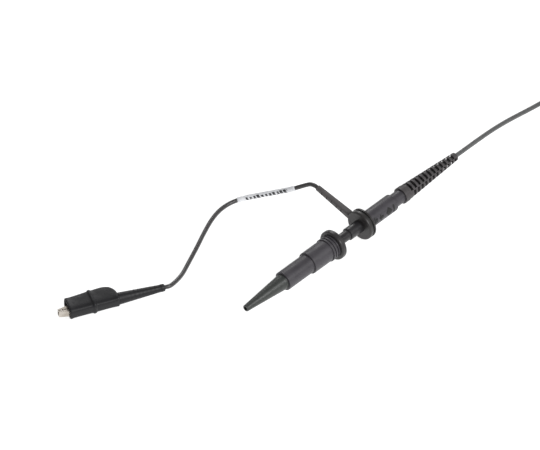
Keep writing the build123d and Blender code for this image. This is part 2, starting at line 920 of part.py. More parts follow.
with BuildPart() as probe_cable:
    with BuildLine() as cable_line:
        route_line(cable_route)
    cable_wire = cable_line.wire()
    with BuildSketch(Plane(origin=cable_wire @ 0, z_dir=cable_wire % 0)):
        Circle(cable_radius)
    sweep(path=cable_wire)
save(probe_cable, "probe_cable")

with BuildPart() as cable_coil:
    with BuildSketch(Plane(origin=(coil_x, coil_y, 0), x_dir=(1, 0, 0), z_dir=(0, -1, 0))):
        with Locations((coil_mid_radius, (coil_bottom + coil_top) / 2)):
            RectangleRounded(coil_outer - coil_inner, coil_top - coil_bottom, cable_radius * 0.9)
    revolve(axis=coil_axis)
save(cable_coil, "cable_coil")

tie_near = coil_outer + stop_gap
tie_far = sqrt(coil_inner**2 - (tie_width / 2) ** 2) - stop_gap
tie_inside = (tie_near - tie_far, coil_top - coil_bottom + 2 * stop_gap)
tie_middle = (coil_x, coil_y - (tie_near + tie_far) / 2, (coil_bottom + coil_top) / 2)

with BuildPart() as coil_tie:
    with BuildSketch(Plane(origin=tie_middle, x_dir=(0, 1, 0), z_dir=(1, 0, 0))):
        Rectangle(tie_inside[0] + 2 * tie_thickness, tie_inside[1] + 2 * tie_thickness)
        Rectangle(*tie_inside, mode=Mode.SUBTRACT)
    extrude(amount=tie_width / 2, both=True)
save(coil_tie, "coil_tie")

plug_height = case_height / 2
tail_route = [
    (coil_x + 2, plug_y, coil_top - 0.5),
    (coil_x + 9, plug_y - 0.4, coil_top + 3.0),
    (coil_x + 18, plug_y - 0.2, coil_top + 3.2),
    (coil_x + 24.5, plug_y - 0.1, coil_top + 0.2),
    (plug_start - 8, plug_y, plug_height),
    (plug_start, plug_y, plug_height),
]

with BuildPart() as plug_cable:
    with BuildLine() as tail_line:
        route_line(tail_route)
    tail_wire = tail_line.wire()
    with BuildSketch(Plane(origin=tail_wire @ 0, z_dir=tail_wire % 0)):
        Circle(cable_radius)
    sweep(path=tail_wire)
save(plug_cable, "plug_cable")

# ======== plug: relief, compensation case, board and trimmer ========
plug_axis = Axis((0, plug_y, plug_height), (1, 0, 0))
case_start = plug_start + plug_relief_length
case_end = case_start + case_length
case_middle = (case_start + case_end) / 2
relief_plug_spigot = 3.0

with BuildPart() as plug_relief:
    revolve(
        profile(
            [
                (plug_start, 0),
                (plug_start, plug_relief_radii[0]),
                (case_start, plug_relief_radii[1]),
                (case_start, relief_plug_spigot),
                (case_start + case_wall + 1, relief_plug_spigot),
                (case_start + case_wall + 1, 0),
            ],
            plug_axis,
        ),
        axis=plug_axis,
    )
    for ring in range(4):
        groove = plug_start + 3 + ring * 4
        revolve(
            tube_profile(groove, groove + 1.4, plug_relief_radii[1] + 1, plug_relief_radii[0] - 0.5, plug_axis),
            axis=plug_axis,
            mode=Mode.SUBTRACT,
        )
save(plug_relief, "plug_relief")

screw_spots = [
    (case_length / 2 - screw_inset, case_width / 2 - screw_inset),
    (screw_inset - case_length / 2, screw_inset - case_width / 2),
]
post_radius = 2.0
rail_height = 3.6
rail_width = 1.2
bnc_spigot_radius = 4.1


def case_plane(height):
    """Return a level plane through the case at a height."""
    return Plane(origin=(case_middle, plug_y, height), x_dir=(1, 0, 0), z_dir=(0, 0, 1))


with BuildPart() as plug_case_lower:
    with BuildSketch(case_plane(0)):
        RectangleRounded(case_length, case_width, case_corner)
    extrude(amount=plug_height)
    with BuildSketch(case_plane(case_wall)):
        RectangleRounded(case_length - 2 * case_wall, case_width - 2 * case_wall, case_corner - case_wall)
    extrude(amount=plug_height, mode=Mode.SUBTRACT)
    with BuildSketch(case_plane(case_wall - 0.1)):
        with Locations(*screw_spots):
            Circle(post_radius)
        with GridLocations(0, case_width - 2 * case_wall - rail_width + 0.2, 1, 2):
            Rectangle(case_length - 14, rail_width)
    extrude(amount=rail_height - case_wall)
    with BuildSketch(case_plane(case_wall)):
        with Locations(*screw_spots):
            Circle(post_radius)
    extrude(amount=plug_height - case_wall)
    with BuildSketch(case_plane(case_wall + 0.5)):
        with Locations(*screw_spots):
            Circle(screw_radius + 0.03)
    extrude(amount=plug_height, mode=Mode.SUBTRACT)
    revolve(
        tube_profile(case_start - 1, case_start + 4, relief_plug_spigot + seat_clearance, 0, plug_axis),
        axis=plug_axis,
        mode=Mode.SUBTRACT,
    )
    revolve(
        tube_profile(case_end - 2 * case_wall, case_end + 1, bnc_spigot_radius + seat_clearance, 0, plug_axis),
        axis=plug_axis,
        mode=Mode.SUBTRACT,
    )
    fillet(plug_case_lower.faces().sort_by(Axis.Z)[0].outer_wire().edges(), 1.0)
save(plug_case_lower, "plug_case_lower")

trimmer_hole_radius = trimmer_radius + 0.3
head_sink = 1.4

with BuildPart() as plug_case_upper:
    with BuildSketch(case_plane(plug_height)):
        RectangleRounded(case_length, case_width, case_corner)
    extrude(amount=plug_height)
    fillet(plug_case_upper.faces().sort_by(Axis.Z)[-1].outer_wire().edges(), 1.6)
    with BuildSketch(case_plane(plug_height)):
        RectangleRounded(case_length - 2 * case_wall, case_width - 2 * case_wall, case_corner - case_wall)
    extrude(amount=plug_height - case_wall, mode=Mode.SUBTRACT)
    with BuildSketch(case_plane(plug_height)):
        with Locations(*screw_spots):
            Circle(post_radius)
    extrude(amount=plug_height - case_wall)
    with BuildSketch(case_plane(plug_height)):
        with Locations(*screw_spots):
            Circle(screw_radius + 0.1)
        with Locations((trimmer_place[0] - case_length / 2, trimmer_place[1])):
            Circle(trimmer_hole_radius)
    extrude(amount=case_height, mode=Mode.SUBTRACT)
    with BuildSketch(case_plane(case_height - head_sink)):
        with Locations(*screw_spots):
            Circle(screw_head_radius + 0.1)
    extrude(amount=case_height, mode=Mode.SUBTRACT)
    revolve(
        tube_profile(case_start - 1, case_start + 4, relief_plug_spigot + seat_clearance, 0, plug_axis),
        axis=plug_axis,
        mode=Mode.SUBTRACT,
    )
    revolve(
        tube_profile(case_end - 2 * case_wall, case_end + 1, bnc_spigot_radius + seat_clearance, 0, plug_axis),
        axis=plug_axis,
        mode=Mode.SUBTRACT,
    )
save(plug_case_upper, "plug_case_upper")

with BuildPart() as case_screws:
    with BuildSketch(case_plane(case_height - head_sink)):
        with Locations(*screw_spots):
            Circle(screw_head_radius)
    extrude(amount=head_sink - 0.3)
    with BuildSketch(case_plane(case_wall + 0.8)):
        with Locations(*screw_spots):
            Circle(screw_radius)
    extrude(amount=case_height - head_sink - case_wall - 0.8)
    with BuildSketch(case_plane(case_height - 0.9)):
        with Locations(*screw_spots):
            Rectangle(2.0, 0.45)
            Rectangle(0.45, 2.0)
    extrude(amount=1, mode=Mode.SUBTRACT)
save(case_screws, "case_screws")

board_bottom = rail_height - 0.05
plug_board_size = (24.0, case_width - 2 * case_wall - 0.4, 1.0)

with BuildPart() as plug_board:
    with BuildSketch(case_plane(board_bottom)):
        Rectangle(plug_board_size[0], plug_board_size[1])
    extrude(amount=plug_board_size[2])
save(plug_board, "plug_board")

board_top = board_bottom + plug_board_size[2]
trimmer_body_height = 4.0
trimmer_stem_depth = 1.5


def trimmer_plane(height):
    """Return a level plane on the trimmer's axis at a height."""
    place = (case_start + trimmer_place[0], plug_y + trimmer_place[1], height)
    return Plane(origin=place, x_dir=(1, 0, 0), z_dir=(0, 0, 1))


with BuildPart() as trimmer_body:
    with BuildSketch(trimmer_plane(board_top)):
        RectangleRounded(trimmer_side, trimmer_side, 0.5)
    extrude(amount=trimmer_body_height)
    with BuildSketch(trimmer_plane(board_top + trimmer_body_height - trimmer_stem_depth)):
        Circle(0.8 + slide_clearance)
    extrude(amount=trimmer_stem_depth, mode=Mode.SUBTRACT)
save(trimmer_body, "trimmer_body")

trimmer_top = case_height - 0.5

with BuildPart() as trimmer_screw:
    with BuildSketch(trimmer_plane(board_top + trimmer_body_height - trimmer_stem_depth + stop_gap)):
        Circle(0.8)
    extrude(amount=trimmer_stem_depth)
    with BuildSketch(trimmer_plane(board_top + trimmer_body_height + stop_gap)):
        Circle(trimmer_radius)
    extrude(amount=trimmer_top - board_top - trimmer_body_height - stop_gap)
    with BuildSketch(trimmer_plane(trimmer_top - 0.6)):
        Rectangle(2 * trimmer_radius + 0.2, 0.5)
    extrude(amount=1, mode=Mode.SUBTRACT)
save(trimmer_screw, "trimmer_screw")

# ======== BNC plug ========
bnc_flange_thickness = 2.5
bnc_flange_radius = 6.2
nut_start = case_end + bnc_flange_thickness + 1.0
nut_land = 5.0
nut_end = nut_start + nut_length
bnc_body_front = nut_start + nut_land + 1.5
body_barrel_radius = 4.62
insulator_radius = 2.3
sleeve_inner = contact_sleeve_radius - contact_sleeve_wall

with BuildPart() as bnc_body:
    revolve(
        profile(
            [
                (case_end - case_wall - 1, 0.9),
                (case_end - case_wall - 1, bnc_spigot_radius),
                (case_end, bnc_spigot_radius),
                (case_end, bnc_flange_radius),
                (case_end + bnc_flange_thickness, bnc_flange_radius),
                (case_end + bnc_flange_thickness, body_barrel_radius),
                (bnc_body_front, body_barrel_radius),
                (bnc_body_front, sleeve_inner - seat_clearance),
                (bnc_body_front + 2, sleeve_inner - seat_clearance),
                (bnc_body_front + 2, insulator_radius + seat_clearance),
                (nut_start, insulator_radius + seat_clearance),
                (nut_start, 0.9),
            ],
            plug_axis,
        ),
        axis=plug_axis,
    )
    chamfer(rims_of(bnc_body, bnc_flange_radius), 0.4)
save(bnc_body, "bnc_body")

with BuildPart() as bnc_nut:
    revolve(
        profile(
            [
                (nut_start, body_barrel_radius + slide_clearance),
                (nut_start, nut_outer_radius),
                (nut_start + 8.5, nut_outer_radius),
                (nut_start + 9.0, nut_outer_radius - 0.5),
                (nut_end, nut_outer_radius - 0.5),
                (nut_end, bnc_bore_radius),
                (nut_start + nut_land, bnc_bore_radius),
                (nut_start + nut_land, body_barrel_radius + slide_clearance),
            ],
            plug_axis,
        ),
        axis=plug_axis,
    )
    for knurl in range(knurl_count):
        angle = 2 * pi * knurl / knurl_count
        outward = Vector(0, cos(angle), sin(angle))
        with BuildSketch(across(nut_start + 4.4, outward, plug_height, plug_y).offset(nut_outer_radius - 0.35)):
            Rectangle(7.0, 0.8)
        extrude(amount=1, mode=Mode.SUBTRACT)
    for step in range(7):
        for half in (0, pi):
            angle = radians(7.5 * step) + half
            outward = Vector(0, cos(angle), sin(angle))
            with BuildSketch(across(nut_end - step * 0.75, outward, plug_height, plug_y).offset(4)):
                Circle(1.1)
            extrude(amount=4, mode=Mode.SUBTRACT)
save(bnc_nut, "bnc_nut")

with BuildPart() as bnc_insulator:
    revolve(
        tube_profile(
            nut_start + stop_gap, bnc_body_front + 2, insulator_radius, bnc_pin_radius + seat_clearance, plug_axis
        ),
        axis=plug_axis,
    )
save(bnc_insulator, "bnc_insulator")

pin_end = nut_end - 2.5

with BuildPart() as bnc_pin:
    revolve(tube_profile(case_end - case_wall, pin_end, bnc_pin_radius, 0, plug_axis), axis=plug_axis)
    fillet(bnc_pin.edges().sort_by(Axis.X)[-1], 0.5)
save(bnc_pin, "bnc_pin")

with BuildPart() as bnc_contact_sleeve:
    revolve(
        tube_profile(
            bnc_body_front + seat_clearance, nut_end - 1, contact_sleeve_radius, sleeve_inner, plug_axis
        ),
        axis=plug_axis,
    )
    for outward in ((0, 1, 0), (0, 0, 1)):
        with BuildSketch(across(nut_end - 3.5, outward, plug_height, plug_y).offset(-6)):
            Rectangle(5.4, 0.5)
        extrude(amount=12, mode=Mode.SUBTRACT)
save(bnc_contact_sleeve, "bnc_contact_sleeve")

with BuildPart() as bnc_gasket:
    revolve(
        tube_profile(
            bnc_body_front + seat_clearance,
            bnc_body_front + 1.1,
            bnc_bore_radius - 2 * slide_clearance,
            contact_sleeve_radius + seat_clearance,
            plug_axis,
        ),
        axis=plug_axis,
    )
save(bnc_gasket, "bnc_gasket")

# ======== measures ========
for name, route, wire, piece, radius in (
    ("ground lead", lead_route, lead_wire, ground_lead, lead_radius),
    ("probe cable", cable_route, cable_wire, probe_cable, cable_radius),
    ("plug cable", tail_route, tail_wire, plug_cable, cable_radius),
):
    share = piece.part.volume / (pi * radius**2 * wire.length)
    print(name, "length", round(wire.length, 1), "volume over section x length", round(share, 4))
    print("  arc radii", [round(value, 1) for value in route_radii(route)])
    runs = [(Vector(*b) - Vector(*a)).length for a, b in zip(route, route[1:])]
    print("  runs", [round(value, 1) for value in runs])
coil_length = coil_columns * coil_layers * 2 * pi * coil_mid_radius
print("coil length", round(coil_length, 1))
print("lead start", tuple(round(v, 2) for v in lead_start), "guard middle", round(guard_middle, 3))
print("clip pivot", tuple(round(v, 4) for v in pin_point), "direction", tuple(round(v, 5) for v in clip_direction))
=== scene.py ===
"""Oscilloscope probe: the finished look of every piece, in metres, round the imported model's frame."""

import json
import logging
import math
from dataclasses import dataclass
from enum import Enum

import bmesh
import bpy
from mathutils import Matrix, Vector


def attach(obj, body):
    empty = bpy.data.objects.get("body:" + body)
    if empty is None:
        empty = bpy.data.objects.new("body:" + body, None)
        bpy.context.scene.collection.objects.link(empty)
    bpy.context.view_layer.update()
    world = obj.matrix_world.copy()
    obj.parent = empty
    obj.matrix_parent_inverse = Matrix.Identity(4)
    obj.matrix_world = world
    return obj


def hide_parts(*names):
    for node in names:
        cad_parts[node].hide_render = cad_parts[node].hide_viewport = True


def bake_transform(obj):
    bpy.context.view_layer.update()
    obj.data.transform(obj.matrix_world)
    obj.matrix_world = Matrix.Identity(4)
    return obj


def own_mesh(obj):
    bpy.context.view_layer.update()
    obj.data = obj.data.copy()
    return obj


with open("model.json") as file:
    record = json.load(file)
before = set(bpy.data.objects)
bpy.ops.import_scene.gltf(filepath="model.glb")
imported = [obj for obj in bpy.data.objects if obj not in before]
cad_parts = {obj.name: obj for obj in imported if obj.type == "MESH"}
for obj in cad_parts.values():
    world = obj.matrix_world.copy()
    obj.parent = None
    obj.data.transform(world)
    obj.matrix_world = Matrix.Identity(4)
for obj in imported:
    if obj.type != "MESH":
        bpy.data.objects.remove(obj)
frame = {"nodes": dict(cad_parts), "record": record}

LOG = logging.getLogger("probe")
MM = 0.001

Point = tuple[float, float, float]
Colour = tuple[float, float, float]
Piece = bpy.types.Object
Material = bpy.types.Material
Socket = bpy.types.NodeSocket


# ---------------------------------------------------------------- finishes
class NodeDesk:
    """Lays out one material's nodes and joins them up."""

    def __init__(self, name: str) -> None:
        """Start an empty material with a principled shader and its output."""
        self.material = bpy.data.materials.new(name)
        self.material.use_nodes = True
        self.tree = self.material.node_tree
        self.tree.nodes.clear()
        output = self.add("OutputMaterial")
        self.shader = self.add("BsdfPrincipled")
        self.join(self.shader.outputs["BSDF"], output.inputs["Surface"])
        self.place = self.add("TexCoord")

    def add(self, kind: str, **values: float | tuple) -> bpy.types.Node:
        """Return a new node of a kind, its inputs set by name with underscores for spaces."""
        node = self.tree.nodes.new("ShaderNode" + kind)
        for name, value in values.items():
            node.inputs[name.replace("_", " ")].default_value = value
        return node

    def join(self, source: Socket, target: Socket) -> None:
        """Link one socket to another."""
        self.tree.links.new(source, target)

    def noise(self, scale: float, detail: float = 3.0, roughness: float = 0.5) -> Socket:
        """Return a noise factor that lies still on the piece.

        Args:
            scale: features per metre.
            detail: octaves of finer noise.
            roughness: how strong the finer octaves are.

        Returns:
            The factor socket.
        """
        node = self.add("TexNoise", Scale=scale, Detail=detail, Roughness=roughness)
        self.join(self.place.outputs["Object"], node.inputs["Vector"])
        return node.outputs["Fac"]

    def spread(
        self, factor: Socket, low: float, high: float, start: float = 0.3, end: float = 0.7
    ) -> Socket:
        """Return the factor mapped from start..end to low..high, clamped."""
        node = self.add("MapRange", From_Min=start, From_Max=end, To_Min=low, To_Max=high)
        self.join(factor, node.inputs["Value"])
        return node.outputs["Result"]

    def math(self, operation: str, first: object, second: object = 0.0) -> Socket:
        """Return the result of a maths node on sockets or numbers."""
        node = self.add("Math")
        node.operation = operation
        for socket, value in zip(node.inputs, (first, second)):
            if isinstance(value, (int, float)):
                socket.default_value = value
            else:
                self.join(value, socket)
        return node.outputs[0]

    def blend(self, factor: Socket, first: object, second: object) -> Socket:
        """Return a colour between two, each a socket or three numbers."""
        node = self.add("Mix")
        node.data_type = "RGBA"
        self.join(factor, node.inputs["Factor"])
        for socket, value in ((node.inputs[6], first), (node.inputs[7], second)):
            if isinstance(value, tuple):
                socket.default_value = (*value, 1.0)
            else:
                self.join(value, socket)
        return node.outputs[2]

    def rounded_edges(self, radius: float) -> Socket:
        """Return the normal of a surface whose edges are eased to a radius."""
        node = self.add("Bevel", Radius=radius)
        node.samples = 4
        return node.outputs["Normal"]

    def edge_mask(self, eased: Socket) -> Socket:
        """Return 1 on edges and 0 on flat ground, from an eased normal."""
        flat = self.add("NewGeometry")
        dot = self.add("VectorMath")
        dot.operation = "DOT_PRODUCT"
        self.join(eased, dot.inputs[0])
        self.join(flat.outputs["Normal"], dot.inputs[1])
        return self.spread(dot.outputs["Value"], 1.0, 0.0, 0.82, 0.995)

    def bump(
        self, height: Socket, depth: float, strength: float = 1.0, normal: object = None
    ) -> Socket:
        """Return a normal raised by a height factor of the given depth in metres."""
        node = self.add("Bump", Distance=depth, Strength=strength)
        self.join(height, node.inputs["Height"])
        if normal is not None:
            self.join(normal, node.inputs["Normal"])
        return node.outputs["Normal"]

    def feed(self, **sources: Socket) -> None:
        """Join sockets to the shader's own, with underscores for the spaces in their names."""
        for name, source in sources.items():
            self.join(source, self.shader.inputs[name.replace("_", " ")])

    def set(self, **values: float | tuple) -> None:
        """Set the shader's own sockets, with underscores for the spaces in their names."""
        for name, value in values.items():
            self.shader.inputs[name.replace("_", " ")].default_value = value


@dataclass(frozen=True)
class MouldedFinish:
    """A moulded plastic or rubber: grained, slightly uneven, with paler edges that are partly wear and partly a painted
    highlight, and a mould seam.
    """

    name: str
    colour: Colour
    # The edge colour: partly wear, partly a painted highlight along the rims.
    paler: Colour
    roughness: tuple[float, float] = (0.40, 0.56)
    grain_per_metre: float = 2600.0
    grain_depth: float = 0.00005
    ripple_per_metre: float = 140.0
    ripple_depth: float = 0.00008
    edge_radius: float = 0.00025
    wear_and_highlight_strength: float = 0.5
    specular: float = 0.45
    seam_height: float | None = None
    seam_width: float = 0.00012

    def seam(self, desk: NodeDesk, normal: Socket) -> Socket:
        """Return the normal with a thin raised mould seam at the seam height."""
        if self.seam_height is None:
            return normal
        parts = desk.add("SeparateXYZ")
        desk.join(desk.place.outputs["Object"], parts.inputs[0])
        away = desk.math("ABSOLUTE", desk.math("SUBTRACT", parts.outputs["Z"], self.seam_height))
        return desk.bump(desk.spread(away, 1.0, 0.0, 0.0, self.seam_width), 0.00005, 0.9, normal)

    def dress(self) -> Material:
        """Return the material."""
        desk = NodeDesk(self.name)
        eased = desk.rounded_edges(self.edge_radius)
        cloud = desk.spread(desk.noise(self.ripple_per_metre, 4.0), 0.0, 1.0)
        speck = desk.noise(self.grain_per_metre, 2.0, 0.6)
        dark = tuple(0.8 * part for part in self.colour)
        ground = desk.blend(cloud, dark, self.colour)
        # Paler edges: partly wear, partly a painted highlight along the rims.
        edge_wear_and_highlight = desk.math("MULTIPLY", desk.edge_mask(eased), desk.spread(cloud, 0.3 * self.wear_and_highlight_strength, self.wear_and_highlight_strength))
        desk.feed(Base_Color=desk.blend(edge_wear_and_highlight, ground, self.paler))
        desk.feed(Roughness=desk.spread(cloud, *self.roughness, 0.0, 1.0))
        waves = desk.bump(desk.noise(self.ripple_per_metre * 1.7, 1.0), self.ripple_depth, 0.6, eased)
        grained = desk.bump(speck, self.grain_depth, 0.8, self.seam(desk, waves))
        desk.feed(Normal=grained)
        desk.set(Specular_IOR_Level=self.specular)
        return desk.material


class Lay(Enum):
    """How a metal's fine marks run."""

    TURNED = (9000.0, 120.0, 120.0)
    DRAWN = (200.0, 4000.0, 4000.0)
    ROLLED = (900.0, 900.0, 900.0)


@dataclass(frozen=True)
class PlatedFinish:
    """A plated or bare metal with fine tool marks, small stains and a painted highlight along its edges."""

    name: str
    colour: Colour
    stain: Colour
    lay: Lay = Lay.ROLLED
    roughness: tuple[float, float] = (0.16, 0.34)
    mark_depth: float = 0.00001
    edge_radius: float = 0.00012

    def dress(self) -> Material:
        """Return the material."""
        desk = NodeDesk(self.name)
        eased = desk.rounded_edges(self.edge_radius)
        stretch = desk.add("Mapping", Scale=self.lay.value)
        desk.join(desk.place.outputs["Object"], stretch.inputs["Vector"])
        marks = desk.add("TexNoise", Scale=1.0, Detail=2.0)
        desk.join(stretch.outputs["Vector"], marks.inputs["Vector"])
        cloud = desk.spread(desk.noise(260.0, 4.0), 0.0, 1.0, 0.35, 0.75)
        toned = desk.blend(cloud, self.colour, self.stain)
        # Painted highlight: the base colour is lifted along the edges.
        edge_highlight = tuple(min(1.0, 1.15 * part) for part in self.colour)
        desk.feed(Base_Color=desk.blend(desk.edge_mask(eased), toned, edge_highlight))
        rough = desk.math("ADD", desk.spread(marks.outputs["Fac"], *self.roughness), desk.spread(cloud, 0.0, 0.08))
        desk.feed(Roughness=rough)
        desk.feed(Normal=desk.bump(marks.outputs["Fac"], self.mark_depth, 0.7, eased))
        desk.set(Metallic=1.0)
        return desk.material


@dataclass(frozen=True)
class PrintedSleeveFinish:
    """A white shrink sleeve with a row of plain dark marks along it."""

    name: str = "label_sleeve_look"
    white: Colour = (0.80, 0.81, 0.83)
    shade: Colour = (0.66, 0.67, 0.70)
    ink: Colour = (0.012, 0.012, 0.014)
    marks: float = 15.0
    print_range: tuple[float, float] = (0.13, 0.86)
    band_middle: float = 0.80
    band_half: float = 0.125

    def step_between(
        self, desk: NodeDesk, value: Socket, low: object, high: object
    ) -> Socket:
        """Return 1 where the value lies between two limits."""
        above = desk.math("GREATER_THAN", value, low)
        below = desk.math("LESS_THAN", value, high)
        return desk.math("MULTIPLY", above, below)

    def dress(self) -> Material:
        """Return the material, whose print follows the sleeve's own UV map."""
        desk = NodeDesk(self.name)
        parts = desk.add("SeparateXYZ")
        desk.join(desk.place.outputs["UV"], parts.inputs[0])
        along, around = parts.outputs["X"], parts.outputs["Y"]
        lean = desk.math("ADD", along, desk.math("MULTIPLY", around, -0.10))
        cell = desk.math("MULTIPLY", lean, self.marks)
        number = desk.math("FLOOR", cell)
        share = desk.math("FRACT", cell)
        dice = []
        for seed in (0.37, 4.71, 9.13):
            random = desk.add("TexWhiteNoise")
            random.noise_dimensions = "1D"
            desk.join(desk.math("ADD", number, seed), random.inputs["W"])
            dice.append(random.outputs["Value"])
        stem = desk.math("LESS_THAN", share, desk.spread(dice[0], 0.48, 0.78, 0.0, 1.0))
        middle, half = self.band_middle, self.band_half
        low = desk.spread(dice[1], middle - half, middle - 0.35 * half, 0.0, 1.0)
        high = desk.spread(dice[2], middle + 0.45 * half, middle + half, 0.0, 1.0)
        stem = desk.math("MULTIPLY", stem, self.step_between(desk, around, low, high))
        foot = self.step_between(desk, around, middle - half, middle - 0.55 * half)
        foot = desk.math("MULTIPLY", foot, desk.math("GREATER_THAN", dice[1], 0.45))
        mark = desk.math("MAXIMUM", stem, desk.math("MULTIPLY", foot, desk.math("LESS_THAN", share, 0.8)))
        mark = desk.math("MULTIPLY", mark, self.step_between(desk, along, *self.print_range))
        paler = desk.spread(desk.noise(1800.0, 2.0), 0.75, 1.0, 0.3, 0.5)
        cloud = desk.spread(desk.noise(150.0, 3.0), 0.0, 1.0)
        ground = desk.blend(cloud, self.shade, self.white)
        desk.feed(Base_Color=desk.blend(desk.math("MULTIPLY", mark, paler), ground, self.ink))
        desk.feed(Roughness=desk.spread(cloud, 0.28, 0.42, 0.0, 1.0))
        desk.feed(Normal=desk.bump(desk.noise(420.0, 2.0), 0.00007, 0.6))
        return desk.material


@dataclass(frozen=True)
class WovenFinish:
    """A woven strap: crossed threads with a soft fuzz."""

    name: str = "tie_weave_look"
    thread: Colour = (0.030, 0.030, 0.034)
    gap: Colour = (0.008, 0.008, 0.009)
    threads_per_metre: float = 1400.0

    def dress(self) -> Material:
        """Return the material."""
        desk = NodeDesk(self.name)
        waves = []
        for direction in ("X", "DIAGONAL"):
            wave = desk.add("TexWave", Scale=self.threads_per_metre / 3.0, Distortion=0.6)
            wave.bands_direction = direction
            desk.join(desk.place.outputs["Object"], wave.inputs["Vector"])
            waves.append(wave.outputs["Fac"])
        weave = desk.math("MULTIPLY", waves[0], waves[1])
        fuzz = desk.noise(5200.0, 3.0)
        fuzzy = desk.math("ADD", weave, desk.math("MULTIPLY", fuzz, 0.2))
        desk.feed(Base_Color=desk.blend(fuzzy, self.gap, self.thread))
        desk.feed(Normal=desk.bump(weave, 0.00018, 0.8))
        desk.set(Roughness=0.92, Sheen_Weight=0.6, Specular_IOR_Level=0.2)
        return desk.material


@dataclass(frozen=True)
class BoardFinish:
    """A small circuit board: lacquered green with paler tracks."""

    name: str = "circuit_board_look"
    lacquer: Colour = (0.015, 0.10, 0.045)
    track: Colour = (0.05, 0.22, 0.10)
    cells_per_metre: float = 520.0

    def dress(self) -> Material:
        """Return the material."""
        desk = NodeDesk(self.name)
        bricks = desk.add("TexBrick", Scale=self.cells_per_metre, Mortar_Size=0.035)
        desk.join(desk.place.outputs["Object"], bricks.inputs["Vector"])
        desk.feed(Base_Color=desk.blend(bricks.outputs["Fac"], self.lacquer, self.track))
        desk.feed(Normal=desk.bump(bricks.outputs["Fac"], 0.00004, 0.8))
        desk.set(Roughness=0.3, Coat_Weight=0.3)
        return desk.material


Finish = MouldedFinish | PlatedFinish | PrintedSleeveFinish | WovenFinish | BoardFinish
PROBE_AXIS_HEIGHT = 0.0104

FINISHES: dict[str, Finish] = {
    "nose_plastic": MouldedFinish(
        "nose_plastic_look", (0.036, 0.040, 0.037), (0.15, 0.16, 0.15), (0.30, 0.48), seam_height=PROBE_AXIS_HEIGHT,
        ripple_per_metre=420.0, ripple_depth=0.00016, grain_depth=0.00009,
    ),
    "barrel_plastic": MouldedFinish(
        "barrel_plastic_look", (0.050, 0.046, 0.054), (0.13, 0.125, 0.135), (0.36, 0.50), seam_height=PROBE_AXIS_HEIGHT
    ),
    "neck_plastic": MouldedFinish("neck_plastic_look", (0.020, 0.019, 0.021), (0.08, 0.08, 0.085), (0.26, 0.4)),
    "guard_plastic": MouldedFinish(
        "guard_plastic_look", (0.027, 0.0245, 0.0245), (0.10, 0.096, 0.095), (0.30, 0.44), seam_height=PROBE_AXIS_HEIGHT
    ),
    "marker_rubber": MouldedFinish("marker_ring_look", (0.006, 0.006, 0.006), (0.02, 0.02, 0.02), (0.5, 0.65)),
    "relief_rubber": MouldedFinish(
        "relief_rubber_look", (0.060, 0.054, 0.056), (0.13, 0.122, 0.124), (0.46, 0.6), edge_radius=0.0002
    ),
    "cable_jacket": MouldedFinish(
        "cable_jacket_look", (0.105, 0.107, 0.107), (0.16, 0.16, 0.16), (0.36, 0.5), ripple_per_metre=220.0
    ),
    "lead_jacket": MouldedFinish(
        "lead_jacket_look", (0.056, 0.053, 0.054), (0.11, 0.11, 0.11), (0.24, 0.38), ripple_per_metre=220.0
    ),
    "label_sleeve": PrintedSleeveFinish(),
    "boot_vinyl": MouldedFinish(
        "boot_vinyl_look", (0.0095, 0.0095, 0.0115), (0.05, 0.05, 0.055), (0.40, 0.56), specular=0.35,
        ripple_depth=0.00012,
    ),
    "nickel": PlatedFinish("nickel_look", (0.54, 0.50, 0.45), (0.40, 0.36, 0.31), roughness=(0.2, 0.4)),
    "spring_steel": PlatedFinish("spring_steel_look", (0.55, 0.55, 0.56), (0.38, 0.37, 0.36), Lay.DRAWN),
    "gold_brass": PlatedFinish("gold_brass_look", (0.80, 0.60, 0.26), (0.62, 0.43, 0.17), Lay.TURNED),
    "ptfe": MouldedFinish("ptfe_look", (0.82, 0.81, 0.77), (0.88, 0.88, 0.86), (0.3, 0.45), wear_and_highlight_strength=0.2),
    "shield_copper": PlatedFinish("shield_copper_look", (0.72, 0.42, 0.27), (0.5, 0.27, 0.16), Lay.DRAWN),
    "circuit_board": BoardFinish(),
    "resistor_body": MouldedFinish("resistor_body_look", (0.16, 0.36, 0.55), (0.3, 0.5, 0.66), (0.2, 0.35)),
    "capacitor_body": MouldedFinish("capacitor_body_look", (0.5, 0.34, 0.2), (0.6, 0.46, 0.32), (0.4, 0.6)),
    "plug_plastic": MouldedFinish("plug_plastic_look", (0.035, 0.036, 0.040), (0.11, 0.11, 0.115), (0.42, 0.58)),
    "tie_fabric": WovenFinish(),
    "screw_steel": PlatedFinish("screw_steel_look", (0.2, 0.2, 0.21), (0.1, 0.1, 0.1), Lay.TURNED, (0.25, 0.4)),
    "lead_relief": MouldedFinish(
        "lead_relief_look", (0.094, 0.087, 0.088), (0.15, 0.14, 0.14), (0.44, 0.58), edge_radius=0.0002
    ),
    "flange": MouldedFinish(
        "flange_look", (0.029, 0.0265, 0.028), (0.10, 0.096, 0.098), (0.30, 0.44), seam_height=PROBE_AXIS_HEIGHT
    ),
    "gasket_rubber": MouldedFinish("gasket_rubber_look", (0.30, 0.035, 0.028), (0.4, 0.1, 0.08), (0.45, 0.6)),
}

# Nodes whose finish differs from the one that the record names.
OWN_FINISHES = {"ground_lead_relief": "lead_relief", "finger_flange": "flange"}


